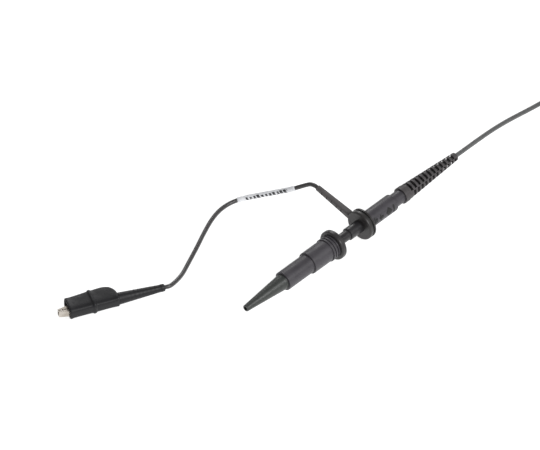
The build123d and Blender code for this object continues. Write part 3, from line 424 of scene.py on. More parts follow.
class FinishShelf:
    """Makes each finish once and hands it out."""

    def __init__(self) -> None:
        """Start with nothing made."""
        self.made: dict[str, Material] = {}

    def take(self, slot: str) -> Material:
        """Return the material of one of the record's slots."""
        if slot not in self.made:
            self.made[slot] = FINISHES[slot].dress()
        return self.made[slot]

    def dress_nodes(self) -> None:
        """Give each of the model's nodes the finish that its record names."""
        for row in frame["record"]["subparts"]:
            node = frame["nodes"][row["node"]]
            node.data.materials.clear()
            node.data.materials.append(self.take(OWN_FINISHES.get(row["node"], row["material_slot"])))
        LOG.info("finishes: %d nodes dressed", len(frame["nodes"]))


# ---------------------------------------------------------------- shared modelling helpers
def clear_selection() -> None:
    """Leave object mode with nothing selected."""
    if bpy.context.object and bpy.context.object.mode != "OBJECT":
        bpy.ops.object.mode_set(mode="OBJECT")
    bpy.ops.object.select_all(action="DESELECT")


def take_up(piece: Piece) -> None:
    """Leave one piece selected and active, and nothing else."""
    clear_selection()
    bpy.context.view_layer.objects.active = piece
    piece.select_set(True)


def join_pieces(pieces: list[Piece]) -> Piece:
    """Join pieces into the first of them and return it."""
    take_up(pieces[0])
    for piece in pieces[1:]:
        piece.select_set(True)
    bpy.ops.object.join()
    return pieces[0]


def circle_of(radius: float, segments: int) -> list[tuple[float, float]]:
    """Return the corners of a circle, counter-clockwise from its first axis."""
    angles = [2 * math.pi * number / segments for number in range(segments)]
    return [(radius * math.cos(angle), radius * math.sin(angle)) for angle in angles]


def make_cord(name: str, route: list[Point], radius: float) -> Piece:
    """Return a round cord on one smooth spline.

    Args:
        name: the piece's name.
        route: the control points, in metres.
        radius: the cord's radius, in metres.

    Returns:
        The curve object.
    """
    curve = bpy.data.curves.new(name, "CURVE")
    curve.dimensions = "3D"
    curve.bevel_depth = radius
    curve.bevel_resolution = 6
    curve.resolution_u = 10
    curve.use_fill_caps = True
    spline = curve.splines.new("NURBS")
    spline.points.add(len(route) - 1)
    for point, place in zip(spline.points, route):
        point.co = (*place, 1.0)
    spline.order_u = 3
    spline.use_endpoint_u = True
    spline.use_smooth = True
    piece = bpy.data.objects.new(name, curve)
    bpy.context.scene.collection.objects.link(piece)
    return piece


def centre_line(cord: Piece, steps: int = 16) -> list[Vector]:
    """Return points along a cord's own spline."""
    bare = cord.data.copy()
    bare.bevel_depth = 0.0
    bare.use_fill_caps = False
    bare.resolution_u = steps
    probe = bpy.data.objects.new("line_reader", bare)
    bpy.context.scene.collection.objects.link(probe)
    bpy.context.view_layer.update()
    graph = bpy.context.evaluated_depsgraph_get()
    mesh = bpy.data.meshes.new_from_object(probe.evaluated_get(graph))
    points = [vertex.co.copy() for vertex in mesh.vertices]
    bpy.data.objects.remove(probe)
    bpy.data.meshes.remove(mesh)
    bpy.data.curves.remove(bare)
    return points


def line_length(points: list[Vector]) -> float:
    """Return the length of a chain of points."""
    return sum((after - before).length for before, after in zip(points, points[1:]))


def settle(piece: Piece, finish: Material, body: str = "root") -> Piece:
    """Give a finished mesh its material and the body that it moves with."""
    piece.data.materials.clear()
    piece.data.materials.append(finish)
    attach(piece, body)
    LOG.info("%s: %d faces", piece.name, len(piece.data.polygons))
    return piece


class Ends(Enum):
    """How a skin extruded from ring to ring is finished."""

    CAPPED = "NGON"
    LOOPED = "NOTHING"


def shape_ring(piece: Piece, before: list[Vector] | None, corners: list[Vector]) -> None:
    """Move the selected ring's corners to new places.

    Args:
        piece: the piece, in edit mode with one ring selected.
        before: where the corners are now, in order, or None for the order in which they were made.
        corners: where they go, in the same order.
    """
    mesh = bmesh.from_edit_mesh(piece.data)
    chosen = [vertex for vertex in mesh.verts if vertex.select]
    if before is None:
        for vertex, corner in zip(chosen, corners):
            vertex.co = corner
    else:
        for vertex in chosen:
            nearest = min(range(len(before)), key=lambda index: (before[index] - vertex.co).length_squared)
            vertex.co = corners[nearest]
    bmesh.update_edit_mesh(piece.data)


def loft(name: str, rings: list[list[Vector]], ends: Ends = Ends.CAPPED) -> Piece:
    """Return a skin extruded from ring to ring.

    Args:
        name: the piece's name.
        rings: the corners of each ring, in the same order round each.
        ends: capped, or looped back onto the first ring.

    Returns:
        The piece, in object mode, its faces outwards.
    """
    clear_selection()
    bpy.ops.mesh.primitive_circle_add(vertices=len(rings[0]), radius=MM, fill_type=ends.value)
    piece = bpy.context.object
    piece.name = piece.data.name = name
    bpy.ops.object.mode_set(mode="EDIT")
    bpy.ops.mesh.select_all(action="SELECT")
    shape_ring(piece, None, rings[0])
    last = rings[0]
    step = Vector((0.0, 0.0, 0.0))
    following = rings[1:] + ([rings[0]] if ends is Ends.LOOPED else [])
    for ring in following:
        bpy.ops.mesh.extrude_region_move(TRANSFORM_OT_translate={"value": step})
        shape_ring(piece, [corner + step for corner in last], ring)
        last = ring
    bpy.ops.mesh.select_all(action="SELECT")
    if ends is Ends.LOOPED:
        bpy.ops.mesh.remove_doubles(threshold=0.000001)
    bpy.ops.mesh.normals_make_consistent(inside=False)
    bpy.ops.object.mode_set(mode="OBJECT")
    return piece


def map_rings(piece: Piece, rings: list[list[Vector]]) -> None:
    """Give a skin a UV map: along its rings, then round them."""
    def key(place: Vector) -> tuple[int, ...]:
        """Return a place in whole microns."""
        return tuple(round(value * 1e6) for value in place)

    spot = {key(corner): (along, around) for along, ring in enumerate(rings) for around, corner in enumerate(ring)}
    while piece.data.uv_layers:
        piece.data.uv_layers.remove(piece.data.uv_layers[0])
    layer = piece.data.uv_layers.new(name="sleeve_map")
    count = len(rings[0])
    for face in piece.data.polygons:
        found = [spot[key(piece.data.vertices[index].co)] for index in face.vertices]
        wraps = max(place[1] for place in found) - min(place[1] for place in found) > count / 2
        for loop, (along, around) in zip(face.loop_indices, found):
            turned = around + count if wraps and around < count / 2 else around
            layer.data[loop].uv = (along / (len(rings) - 1), turned / count)


def tube_rings(line: list[Vector], radii: list[float], segments: int) -> list[list[Vector]]:
    """Return rings round a line of points, each ring's first corner on top.

    Args:
        line: the centre points.
        radii: the radius at each point.
        segments: the corners round a ring.

    Returns:
        The corners of each ring.
    """
    rings = []
    for index, (point, radius) in enumerate(zip(line, radii)):
        before, after = line[max(0, index - 1)], line[min(len(line) - 1, index + 1)]
        along = (after - before).normalized()
        across = along.cross(Vector((0.0, 0.0, 1.0))).normalized()
        up = across.cross(along)
        rings.append([point + radius * (rise * up + side * across) for rise, side in circle_of(1.0, segments)])
    return rings


def stretch_of(line: list[Vector], start: float, end: float, count: int) -> list[Vector]:
    """Return evenly spaced points on a line between two distances along it."""
    marks = [0.0]
    for before, after in zip(line, line[1:]):
        marks.append(marks[-1] + (after - before).length)
    points = []
    for index in range(count):
        wanted = start + (end - start) * index / (count - 1)
        place = next((number for number in range(1, len(marks)) if marks[number] >= wanted), len(marks) - 1)
        share = (wanted - marks[place - 1]) / max(1e-9, marks[place] - marks[place - 1])
        points.append(line[place - 1].lerp(line[place], share))
    return points


def apply_modifier(piece: Piece, kind: str, **values: object) -> None:
    """Add one modifier, set its values and apply it."""
    take_up(piece)
    modifier = piece.modifiers.new(kind.lower(), kind)
    for name, value in values.items():
        setattr(modifier, name, value)
    bpy.ops.object.modifier_apply(modifier=modifier.name)


def smooth(piece: Piece, degrees: float = 40.0) -> None:
    """Shade a piece smooth but for edges sharper than an angle."""
    take_up(piece)
    bpy.ops.object.shade_smooth_by_angle(angle=math.radians(degrees))


def rounded_section(half_width: float, half_height: float, power: float, segments: int) -> list[tuple[float, float]]:
    """Return the corners of a soft-cornered rectangle, counter-clockwise."""
    corners = []
    for index in range(segments):
        angle = 2 * math.pi * (index + 0.5) / segments
        across, up = math.cos(angle), math.sin(angle)
        reach = (abs(across) ** power + abs(up) ** power) ** (-1.0 / power)
        corners.append((half_width * reach * across, half_height * reach * up))
    return corners


# ---------------------------------------------------------------- camera, light and floor
@dataclass
class Studio:
    """A pale table under soft light, with the camera at the viewing angle."""

    azimuth: float = -47.0
    elevation: float = 42.0
    target: Point = (-0.0271, 0.0471, 0.005)
    distance: float = 4.0
    width_at_target: float = 0.351
    sensor: float = 36.0
    floor_size: float = 8.0
    floor_grey: float = 0.45
    floor_glow: float = 0.86
    sky_strength: float = 0.38
    lamp_aim: Point = (0.0, 0.03, 0.0)

    def back(self) -> Vector:
        """Return the direction from the target to the camera."""
        turn, rise = math.radians(self.azimuth), math.radians(self.elevation)
        return Vector((math.sin(turn) * math.cos(rise), -math.cos(turn) * math.cos(rise), math.sin(rise)))

    def make_camera(self) -> None:
        """Add the camera and make it the scene's own."""
        data = bpy.data.cameras.new("camera")
        data.sensor_width = self.sensor
        data.lens = self.distance * self.sensor / self.width_at_target
        data.clip_start, data.clip_end = 0.05, 30.0
        camera = bpy.data.objects.new("camera", data)
        bpy.context.scene.collection.objects.link(camera)
        camera.location = Vector(self.target) + self.back() * self.distance
        camera.rotation_mode = "QUATERNION"
        camera.rotation_quaternion = (-self.back()).to_track_quat("-Z", "Y")
        bpy.context.scene.camera = camera

    def make_lamp(self, name: str, place: Point, size: float, power: float) -> None:
        """Add one square soft light that points at the object."""
        data = bpy.data.lights.new(name, "AREA")
        data.shape = "SQUARE"
        data.size = size
        data.energy = power
        lamp = bpy.data.objects.new(name, data)
        bpy.context.scene.collection.objects.link(lamp)
        lamp.location = place
        lamp.rotation_mode = "QUATERNION"
        lamp.rotation_quaternion = (Vector(self.lamp_aim) - Vector(place)).to_track_quat("-Z", "Y")

    def make_floor(self) -> None:
        """Add the table top."""
        clear_selection()
        bpy.ops.mesh.primitive_plane_add(size=self.floor_size, location=(0.0, 0.0, -0.0001))
        floor = bpy.context.object
        floor.name = "table_top"
        desk = NodeDesk("table_white")
        desk.set(Base_Color=(*[self.floor_grey] * 3, 1.0), Roughness=0.8, Specular_IOR_Level=0.1)
        desk.set(Emission_Color=(1.0, 1.0, 1.0, 1.0), Emission_Strength=self.floor_glow)
        floor.data.materials.append(desk.material)

    def make_world(self) -> None:
        """Surround the table with an even pale sky."""
        world = bpy.data.worlds.new("soft_room")
        world.use_nodes = True
        sky = world.node_tree.nodes["Background"]
        sky.inputs["Color"].default_value = (1.0, 1.0, 1.0, 1.0)
        sky.inputs["Strength"].default_value = self.sky_strength
        bpy.context.scene.world = world
        bpy.context.scene.view_settings.view_transform = "Standard"

    def build(self) -> None:
        """Add the camera, the lights, the floor and the world."""
        self.make_camera()
        self.make_world()
        self.make_floor()
        self.make_lamp("key_light", (0.15, -1.1, 0.95), 0.6, 15.0)
        self.make_lamp("rim_light", (0.9, 0.9, 0.7), 0.5, 4.0)
        LOG.info("studio: camera %.2f m from the table", self.distance)


# ---------------------------------------------------------------- the probe cable
@dataclass
class ProbeCable:
    """The coaxial cable from the strain relief to the plug, its spare length wound in a coil."""

    radius: float = 0.0015
    start: tuple[Point, ...] = (
        (0.1005, 0.0, 0.0104),
        (0.1105, 0.0, 0.0104),
        (0.1230, 0.0002, 0.0101),
        (0.1370, 0.0006, 0.0092),
        (0.1510, 0.0011, 0.0072),
        (0.1650, 0.0013, 0.0046),
        (0.1790, 0.0008, 0.0025),
        (0.1930, -0.0003, 0.0018),
    )
    tail: tuple[Point, ...] = (
        (0.2170, -0.0074, 0.0126),
        (0.2260, -0.0072, 0.0128),
        (0.2325, -0.0071, 0.0098),
        (0.2380, -0.0070, 0.0075),
        (0.2460, -0.0070, 0.0075),
    )
    coil_centre: tuple[float, float] = (0.2080, -0.0220)
    columns: tuple[float, float, float] = (0.0210, 0.0180, 0.0150)
    layers: tuple[float, float, float] = (0.0021, 0.0051, 0.0081)
    points_per_turn: int = 24
    turns: int = 8
    changes: tuple[tuple[float, float, int, int], ...] = (
        (310, 352, 0, 1),
        (360 + 310, 360 + 352, 0, 2),
        (720 + 264, 720 + 306, 1, 2),
        (1080 + 218, 1080 + 260, 1, 1),
        (1440 + 218, 1440 + 260, 1, 0),
        (1800 + 172, 1800 + 214, 2, 0),
        (2160 + 126, 2160 + 168, 2, 1),
        (2520 + 126, 2520 + 168, 2, 2),
    )

    def place_at(self, turn: float) -> tuple[float, float]:
        """Return the coil's radius and height after turning by some degrees."""
        column, layer = self.columns[0], self.layers[0]
        for first, last, to_column, to_layer in self.changes:
            share = min(1.0, max(0.0, (turn - first) / (last - first)))
            share = share * share * (3.0 - 2.0 * share)
            column += (self.columns[to_column] - column) * share
            layer += (self.layers[to_layer] - layer) * share
        return column, layer

    def wound_points(self) -> list[Point]:
        """Return the coil's control points, clockwise from its far side."""
        step = 360.0 / self.points_per_turn
        reach = 2.0 / (1.0 + math.cos(math.radians(step)))
        points = []
        for index in range(self.turns * self.points_per_turn + 1):
            turn = index * step
            column, layer = self.place_at(turn)
            angle = math.radians(90.0 - turn)
            across = self.coil_centre[0] + column * reach * math.cos(angle)
            points.append((across, self.coil_centre[1] + column * reach * math.sin(angle), layer))
        return points

    def build(self, finish: Material, pieces: list[Piece | str]) -> Piece:
        """Args:
            finish: the jacket's material.
            pieces: what is on the cable; not used.

        Returns:
            The cable.
        """
        cord = make_cord("probe_cable_run", [*self.start, *self.wound_points(), *self.tail], self.radius)
        cord.data.resolution_u = 4
        cord.data.materials.append(finish)
        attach(cord, "root")
        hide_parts("probe_cable", "cable_coil", "plug_cable")
        length = line_length(centre_line(cord, 8))
        LOG.info("probe cable: %.3f m", length)
        return cord


# ---------------------------------------------------------------- the ground lead
@dataclass
class GroundLead:
    """The lead from the finger guard to the clip, run on a little way inside the clip's tail."""

    radius: float = 0.00145
    route: tuple[Point, ...] = (
        (0.00955, 0.03864, 0.01861),
        (0.00955, 0.0433, 0.0196),
        (0.0066, 0.0484, 0.0166),
        (0.0018, 0.0544, 0.013),
        (-0.0032, 0.0624, 0.009),
        (-0.0094, 0.0702, 0.0058),
        (-0.0159, 0.0776, 0.0032),
        (-0.024, 0.0828, 0.0019),
        (-0.0338, 0.0841, 0.00145),
        (-0.0449, 0.0818, 0.00145),
        (-0.0583, 0.0763, 0.00145),
        (-0.0729, 0.0694, 0.00145),
        (-0.0878, 0.0629, 0.0016),
        (-0.0972, 0.0585, 0.0022),
        (-0.104, 0.0562, 0.0032),
        (-0.1096, 0.0547, 0.0043),
        (-0.114, 0.0541, 0.005),
        (-0.117, 0.0558, 0.005),
        (-0.121, 0.05785, 0.005),
        (-0.1255, 0.06015, 0.005),
    )

    def lay(self, finish: Material) -> Piece:
        """Lay the lead along its route."""
        cord = make_cord("ground_lead_run", list(self.route), self.radius)
        cord.data.materials.append(finish)
        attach(cord, "root")
        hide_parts("ground_lead")
        return cord

    def declare(self, cord: Piece) -> None:
        """Say how long the lead is.

        Args:
            cord: the lead.
        """
        length = line_length(centre_line(cord))
        LOG.info("ground lead: %.3f m", length)


# ---------------------------------------------------------------- the label sleeve
@dataclass
class LabelSleeve:
    """The white shrink sleeve on the ground lead, drawn in at both ends."""

    radius: float = 0.0018
    start: float = 0.0170
    length: float = 0.0405
    rings: int = 72
    segments: int = 28
    drawn_in: float = 0.0007
    bite: float = 0.0001

    def build(self, finish: Material, lead: Piece, lead_radius: float) -> Piece:
        """Slip the sleeve over the lead.

        Args:
            finish: the sleeve's printed material.
            lead: the lead's curve.
            lead_radius: the lead's radius.

        Returns:
            The sleeve.
        """
        points = stretch_of(centre_line(lead), self.start, self.start + self.length, self.rings)
        low = lead_radius - self.bite
        radii = []
        for index in range(self.rings):
            share = index / (self.rings - 1)
            from_end = min(share, 1.0 - share) * self.length
            eased = min(1.0, from_end / self.drawn_in)
            swell = 0.00004 * math.sin(share * 41.0) + 0.00003 * math.sin(share * 97.0)
            radii.append(low + (self.radius - low) * math.sqrt(eased) + swell * eased)
        rings = tube_rings(points, radii, self.segments)
        piece = loft("label_wrap", rings)
        map_rings(piece, rings)
        smooth(piece, 50.0)
        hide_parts("lead_label")
        return settle(piece, finish)


# ---------------------------------------------------------------- the clip on the ground lead
@dataclass
class ClipPlace:
    """Where the clip lies: its end of the lead, the way it points and its middle height."""

    start: Point = (-0.1170, 0.0558, 0.0050)
    heading: float = 153.0

    def at(self, station: float, toward_near: float, up: float) -> Vector:
        """Return the place of a point given along, across and above the clip's axis."""
        turn = math.radians(self.heading)
        along = Vector((math.cos(turn), math.sin(turn), 0.0))
        near = Vector((-math.sin(turn), math.cos(turn), 0.0))
        return Vector(self.start) + station * along + toward_near * near + Vector((0.0, 0.0, up))


@dataclass
class ClipRelief:
    """The tapered vinyl tail where the lead enters the clip's boot."""

    place: ClipPlace
    length: float = 0.0317
    radii: tuple[float, float] = (0.0022, 0.0040)
    rib_every: float = 0.0028
    rib_rise: float = 0.00003
    lip: float = 0.0004
    lip_drop: float = 0.0006
    collar_end: float = 0.0030
    collar_rise: float = 0.00022
    rib_end: float = 0.0240
    segments: int = 32

    def build(self, finish: Material) -> Piece:
        """Turn the tail, with shallow waves along it and a rolled front lip."""
        stations = [0.0, 0.0001, 0.0004] + [0.0009 + 0.00055 * step for step in range(57)]
        rings = []
        for station in stations:
            share = min(1.0, station / self.length)
            radius = self.radii[0] + (self.radii[1] - self.radii[0]) * share**0.92
            if station < self.lip:
                radius -= self.lip_drop * (1.0 - station / self.lip)
            elif station < self.collar_end:
                radius += self.collar_rise
            elif station < self.rib_end:
                radius += self.rib_rise * math.sin(2 * math.pi * station / self.rib_every)
            rings.append([self.place.at(station, near, up) for near, up in circle_of(radius, self.segments)])
        piece = loft("clip_tail", rings)
        smooth(piece, 45.0)
        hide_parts("clip_relief")
        return settle(piece, finish)


@dataclass
class ClipBoot:
    """The soft boot round the jaws, with a humped rear, a raised band and an open mouth."""

    place: ClipPlace
    rear: float = 0.0317
    mouth: float = 0.0654
    half_height: float = 0.0043
    wall: float = 0.0010
    near: tuple[float, float] = (0.0042, 0.0051)
    far_mouth: float = 0.0090
    far_hump: float = 0.0121
    hump: float = 0.0365
    hump_soft: float = 0.0013
    hump_fade: float = 0.0040
    side_hollow: float = 0.00022
    mouth_hollow: float = 0.00012
    band: tuple[float, float] = (0.0475, 0.0495)
    band_rise: float = 0.00065
    segments: int = 44
    squareness: float = 4.2

    def sides(self, station: float) -> tuple[float, float]:
        """Return how far the near and the far wall stand from the axis."""
        near = self.near[0] + (self.near[1] - self.near[0]) * (station - self.rear) / (self.mouth - self.rear)
        if station > self.hump:
            far = self.far_hump + (self.far_mouth - self.far_hump) * (station - self.hump) / (self.mouth - self.hump)
            soft = max(0.0, 1.0 - (station - self.hump) / self.hump_fade)
            far -= self.hump_soft * soft * soft
        else:
            share = (station - self.rear) / (self.hump - self.rear)
            far = self.near[0] + (self.far_hump - self.hump_soft - self.near[0]) * math.sin(share * math.pi / 2) ** 0.75
        return near, far

    def ring(self, station: float, grow: float, sag: float) -> list[Vector]:
        """Return the boot's outline at a station, grown or drawn in all round."""
        near, far = self.sides(max(self.rear, station))
        half_width = (near + far) / 2 + grow
        middle = (near - far) / 2
        section = rounded_section(half_width, self.half_height + grow - sag, self.squareness, self.segments)
        return [self.place.at(station, middle + across, up) for across, up in section]

    def build(self, finish: Material) -> Piece:
        """Draw the outer skin to the mouth, roll the lip and line the inside."""
        first, last = self.band
        steps = [
            (self.rear - 0.0001, -0.0012),
            (self.rear - 0.0001, -0.0006),
            (self.rear + 0.0003, -0.0001),
            (self.rear + 0.0009, 0.0),
        ]
        steps += [(self.rear + 0.0016 + 0.0009 * number, 0.0) for number in range(6)]
        steps += [(self.rear + 0.0080 + 0.0020 * number, 0.0) for number in range(4)]
        steps += [(first - 0.0012, 0.0), (first - 0.0003, 0.00003), (first, 0.0003), (first + 0.0003, self.band_rise)]
        steps += [(last - 0.0003, self.band_rise), (last, 0.0003), (last + 0.0003, 0.00003), (last + 0.0012, 0.0)]
        steps += [(last + 0.0035, 0.0), (last + 0.0065, 0.0), (last + 0.0090, 0.0)]
        steps += [(self.mouth - 0.0022, 0.0), (self.mouth - 0.0016, 0.00022), (self.mouth - 0.0004, 0.00022)]
        steps += [(self.mouth, -0.0001), (self.mouth, -self.wall + 0.0002), (self.mouth - 0.0004, -self.wall)]
        steps += [(self.mouth - 0.004 * number, -self.wall) for number in range(1, 8)]
        steps += [(self.rear + 0.0016, -self.wall), (self.rear + 0.0014, -0.0030)]
        rings = []
        for station, grow in steps:
            share = min(1.0, max(0.0, (station - last) / (self.mouth - last)))
            behind = min(1.0, max(0.0, (station - self.rear) / (first - self.rear)))
            sag = self.side_hollow * math.sin(math.pi * behind) + self.mouth_hollow * math.sin(math.pi * share)
            rings.append(self.ring(station, grow, sag))
        piece = loft("clip_boot_skin", rings)
        smooth(piece, 40.0)
        apply_modifier(piece, "SUBSURF", levels=1, render_levels=1)
        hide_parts("clip_boot")
        return settle(piece, finish)


@dataclass
class JawSpring:
    """The small spring on the jaw pin, one leg on each jaw."""

    place: ClipPlace
    pivot: tuple[float, float] = (0.0540, -0.0024)
    feet: tuple[float, float] = (0.0019, -0.0041)
    leg: float = 0.0050
    coil_radius: float = 0.00086
    coil_height: float = 0.0016
    wire_radius: float = 0.0002
    turn: tuple[float, float] = (221.8, 1198.2)
    steps: int = 66
    leg_steps: int = 7

    def leg_points(self, foot: float, degrees: float, up: float) -> list[Vector]:
        """Return one leg's points, from its foot towards where it meets the coil."""
        station, side = self.pivot
        angle = math.radians(degrees)
        along, across = self.coil_radius * math.cos(angle), side + self.coil_radius * math.sin(angle)
        shares = [number / self.leg_steps for number in range(self.leg_steps)]
        return [
            self.place.at(station - self.leg * (1 - share) + along * share, foot * (1 - share) + across * share, up)
            for share in shares
        ]

    def path(self) -> list[Vector]:
        """Return the wire's centre line from one foot to the other."""
        station, side = self.pivot
        first, last = self.turn
        points = self.leg_points(self.feet[0], first, -self.coil_height / 2)
        for number in range(self.steps + 1):
            share = number / self.steps
            angle = math.radians(first + (last - first) * share)
            along, across = self.coil_radius * math.cos(angle), self.coil_radius * math.sin(angle)
            points.append(self.place.at(station + along, side + across, self.coil_height * (share - 0.5)))
        return points + self.leg_points(self.feet[1], last, self.coil_height / 2)[::-1]

    def build(self, finish: Material) -> Piece:
        """Wind the wire."""
        line = self.path()
        piece = loft("jaw_spring_wire", tube_rings(line, [self.wire_radius] * len(line), 10))
        smooth(piece, 60.0)
        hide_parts("jaw_spring")
        piece.data.materials.clear()
        piece.data.materials.append(finish)
        station, side = self.pivot
        near = self.place.at(station, side + self.coil_radius, 0.0)
        far = self.place.at(station, side - self.coil_radius, 0.0)
        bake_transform(piece)
        LOG.info("%s: %d faces", piece.name, len(piece.data.polygons))
        return piece


# ---------------------------------------------------------------- small pieces
@dataclass
class CoilTie:
    """The woven strap round the coil, its free end laid over the top."""

    x_range: tuple[float, float] = (0.2050, 0.2110)
    y_range: tuple[float, float] = (-0.04505, -0.03462)
    z_range: tuple[float, float] = (0.0001, 0.0101)
    thickness: float = 0.0005
    soft: float = 0.00012
    segments: int = 40

    def outline(self, x: float, inset: float) -> list[Vector]:
        """Return the strap's outline at one place across its width."""
        half_depth = (self.y_range[1] - self.y_range[0]) / 2 - inset
        half_height = (self.z_range[1] - self.z_range[0]) / 2 - inset
        middle = (sum(self.y_range) / 2, sum(self.z_range) / 2)
        section = rounded_section(half_depth, half_height, 7.0, self.segments)
        return [Vector((x, middle[0] + across, middle[1] + up)) for across, up in section]

    def build(self, finish: Material) -> Piece:
        """Close the strap round the turns."""
        first, last = self.x_range
        soft, inside = self.soft, self.thickness
        outer = [(first, soft), (first + soft, 0.0), (last - soft, 0.0), (last, soft)]
        inner = [(last, inside - soft), (last - soft, inside), (first + soft, inside), (first, inside - soft)]
        strap = loft("coil_tie_strap", [self.outline(*spot) for spot in outer + inner], Ends.LOOPED)
        middle, top = sum(self.x_range) / 2, self.z_range[1]
        stations = [(0.0, 0.55), (0.0002, 0.85), (0.0006, 1.0), (0.0060, 1.0)]
        stations += [(0.0072, 0.92), (0.0080, 0.7), (0.0084, 0.35)]
        end_rings = []
        for station, share in stations:
            section = rounded_section(0.0030 * share, 0.00028, 5.0, 16)
            y = self.y_range[0] + 0.0012 + station
            end_rings.append([Vector((middle + across, y, top + 0.00022 + up)) for across, up in section])
        join_pieces([strap, loft("coil_tie_end", end_rings)])
        smooth(strap, 40.0)
        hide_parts("coil_tie")
        return settle(strap, finish)


@dataclass
class ReliefShadeCore:
    """A near-black ribbed core inside the strain relief: painted shade for the dark seen through its windows, which
    also hides the floor behind them.
    """

    start: float = 0.0490
    end: float = 0.0985
    radii: tuple[float, float] = (0.0036, 0.0019)
    rib_every: float = 0.00383
    rib_depth: float = 0.00012
    segments: int = 28
    steps: int = 78

    def build(self, finish: Material) -> Piece:
        """Draw the core along the cable, inside the relief."""
        rings = []
        for number in range(self.steps):
            share = number / (self.steps - 1)
            x = self.start + (self.end - self.start) * share
            radius = self.radii[0] + (self.radii[1] - self.radii[0]) * share
            radius -= self.rib_depth * (1.0 + math.cos(2 * math.pi * (x - self.start) / self.rib_every))
            corners = circle_of(radius, self.segments)
            rings.append([Vector((x, across, PROBE_AXIS_HEIGHT + up)) for across, up in corners])
        piece = loft("relief_shade_core", rings)
        smooth(piece, 60.0)
        return settle(piece, finish)


class MarkShape(Enum):
    """The plain raised shapes on the body."""

    ARROW = ((-1.0, 0.10), (-0.1, 1.0), (-0.02, 0.34), (1.0, 0.34))
    LOZENGE = ((-1.0, 0.08), (-0.5, 0.62), (0.0, 1.0), (0.5, 0.62), (1.0, 0.08))
    BAR = ((-1.0, 0.92), (-0.9, 1.0), (0.9, 1.0), (1.0, 0.92))


@dataclass
class BodyMarks:
    """Plain raised shapes, in a row along the near side of the body; their near-black colour is painted shade standing
    in for the shading of the embossing.
    """

    body_radius: float = 0.00595
    rise: float = 0.00016
    sunk: float = 0.00040
    bearing: float = 168.0
    row: tuple[tuple[MarkShape, float, float, float], ...] = (
        (MarkShape.BAR, 0.0166, 0.0006, 27.0),
        (MarkShape.BAR, 0.0182, 0.0006, 15.0),
        (MarkShape.ARROW, 0.0226, 0.0019, 25.0),
        (MarkShape.LOZENGE, 0.0300, 0.0026, 33.0),
        (MarkShape.BAR, 0.0346, 0.0006, 27.0),
    )
    columns: int = 9
    eased: float = 0.00006

    def slice_of(self, x: float, half_angle: float) -> list[Vector]:
        """Return one closed slice of a mark, curved with the body."""
        corners = []
        spans = [(self.rise, -1.0 + 2.0 * number / (self.columns - 1)) for number in range(self.columns)]
        spans += [(-self.sunk, 1.0 - 2.0 * number / (self.columns - 1)) for number in range(self.columns)]
        for height, share in spans:
            angle = math.radians(self.bearing + half_angle * share)
            reach = self.body_radius + height
            corners.append(Vector((x, reach * math.cos(angle), PROBE_AXIS_HEIGHT + reach * math.sin(angle))))
        return corners

    def build(self, finish: Material) -> Piece:
        """Raise the shapes out of the body's side."""
        parts = []
        for number, (shape, middle, half_length, half_angle) in enumerate(self.row):
            rings = [self.slice_of(middle + half_length * along, half_angle * width) for along, width in shape.value]
            parts.append(loft("body_mark_%d" % number, rings))
        marks = join_pieces(parts)
        marks.name = marks.data.name = "body_marks"
        apply_modifier(
            marks, "BEVEL", width=self.eased, segments=2, limit_method="ANGLE", angle_limit=math.radians(40)
        )
        smooth(marks, 40.0)
        return settle(marks, finish)


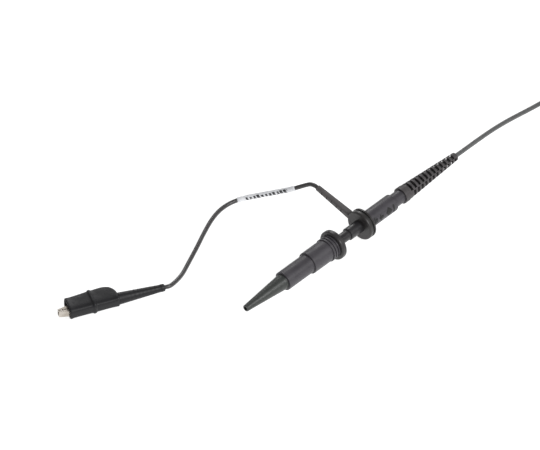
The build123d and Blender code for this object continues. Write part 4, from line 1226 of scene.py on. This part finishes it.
@dataclass
class SleeveSpring:
    """The spring that pushes the sleeve forward over the hook."""

    start: float = -0.05755
    length: float = 0.0288
    turns: int = 8
    coil_radius: float = 0.0040
    wire_radius: float = 0.00035
    keep: float = 0.68

    def build(self, finish: Material) -> Piece:
        """Wind the wire."""
        clear_selection()
        bpy.ops.mesh.primitive_circle_add(
            vertices=10, radius=self.wire_radius, fill_type="NOTHING", location=(0.0, self.coil_radius, 0.0)
        )
        piece = bpy.context.object
        piece.name = piece.data.name = "sleeve_spring_wire"
        bpy.ops.object.transform_apply(location=True, rotation=True, scale=True)
        apply_modifier(
            piece,
            "SCREW",
            axis="X",
            angle=2 * math.pi,
            iterations=self.turns,
            screw_offset=self.length / self.turns,
            steps=28,
            render_steps=28,
            use_merge_vertices=True,
            merge_threshold=0.000001,
        )
        bpy.ops.object.mode_set(mode="EDIT")
        bpy.ops.mesh.select_all(action="SELECT")
        bpy.ops.transform.translate(value=(self.start, 0.0, PROBE_AXIS_HEIGHT))
        bpy.ops.mesh.fill_holes(sides=0)
        bpy.ops.mesh.select_all(action="SELECT")
        bpy.ops.mesh.normals_make_consistent(inside=False)
        bpy.ops.object.mode_set(mode="OBJECT")
        smooth(piece, 40.0)
        settle(piece, finish, "hook_clip")
        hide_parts("sleeve_spring")
        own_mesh(piece)
        return piece


PLUG_NODES = [
    "plug_relief", "plug_case_lower", "plug_case_upper", "case_screws", "plug_board", "trimmer_body", "trimmer_screw",
    "bnc_body", "bnc_nut", "bnc_insulator", "bnc_pin", "bnc_contact_sleeve", "bnc_gasket",
]


def main() -> None:
    """Build the studio and every piece in order."""
    logging.basicConfig(level=logging.INFO, format="%(name)s: %(message)s")
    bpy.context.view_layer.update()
    Studio().build()
    shelf = FinishShelf()
    shelf.dress_nodes()
    tie = CoilTie().build(shelf.take("tie_fabric"))
    ProbeCable().build(shelf.take("cable_jacket"), [tie, *PLUG_NODES])
    lead = GroundLead()
    place = ClipPlace()
    lead_run = lead.lay(shelf.take("lead_jacket"))
    label = LabelSleeve().build(shelf.take("label_sleeve"), lead_run, lead.radius)
    tail = ClipRelief(place).build(shelf.take("boot_vinyl"))
    boot = ClipBoot(place).build(shelf.take("boot_vinyl"))
    spring = JawSpring(place).build(shelf.take("spring_steel"))
    lead.declare(lead_run)
    SleeveSpring().build(shelf.take("spring_steel"))
    # The core's near-black finish is painted shade inside the relief's windows.
    ReliefShadeCore().build(shelf.take("marker_rubber"))
    # The marks' near-black finish is painted shade for the shading of the embossing.
    BodyMarks().build(shelf.take("marker_rubber"))


if __name__ == "__main__":
    main()
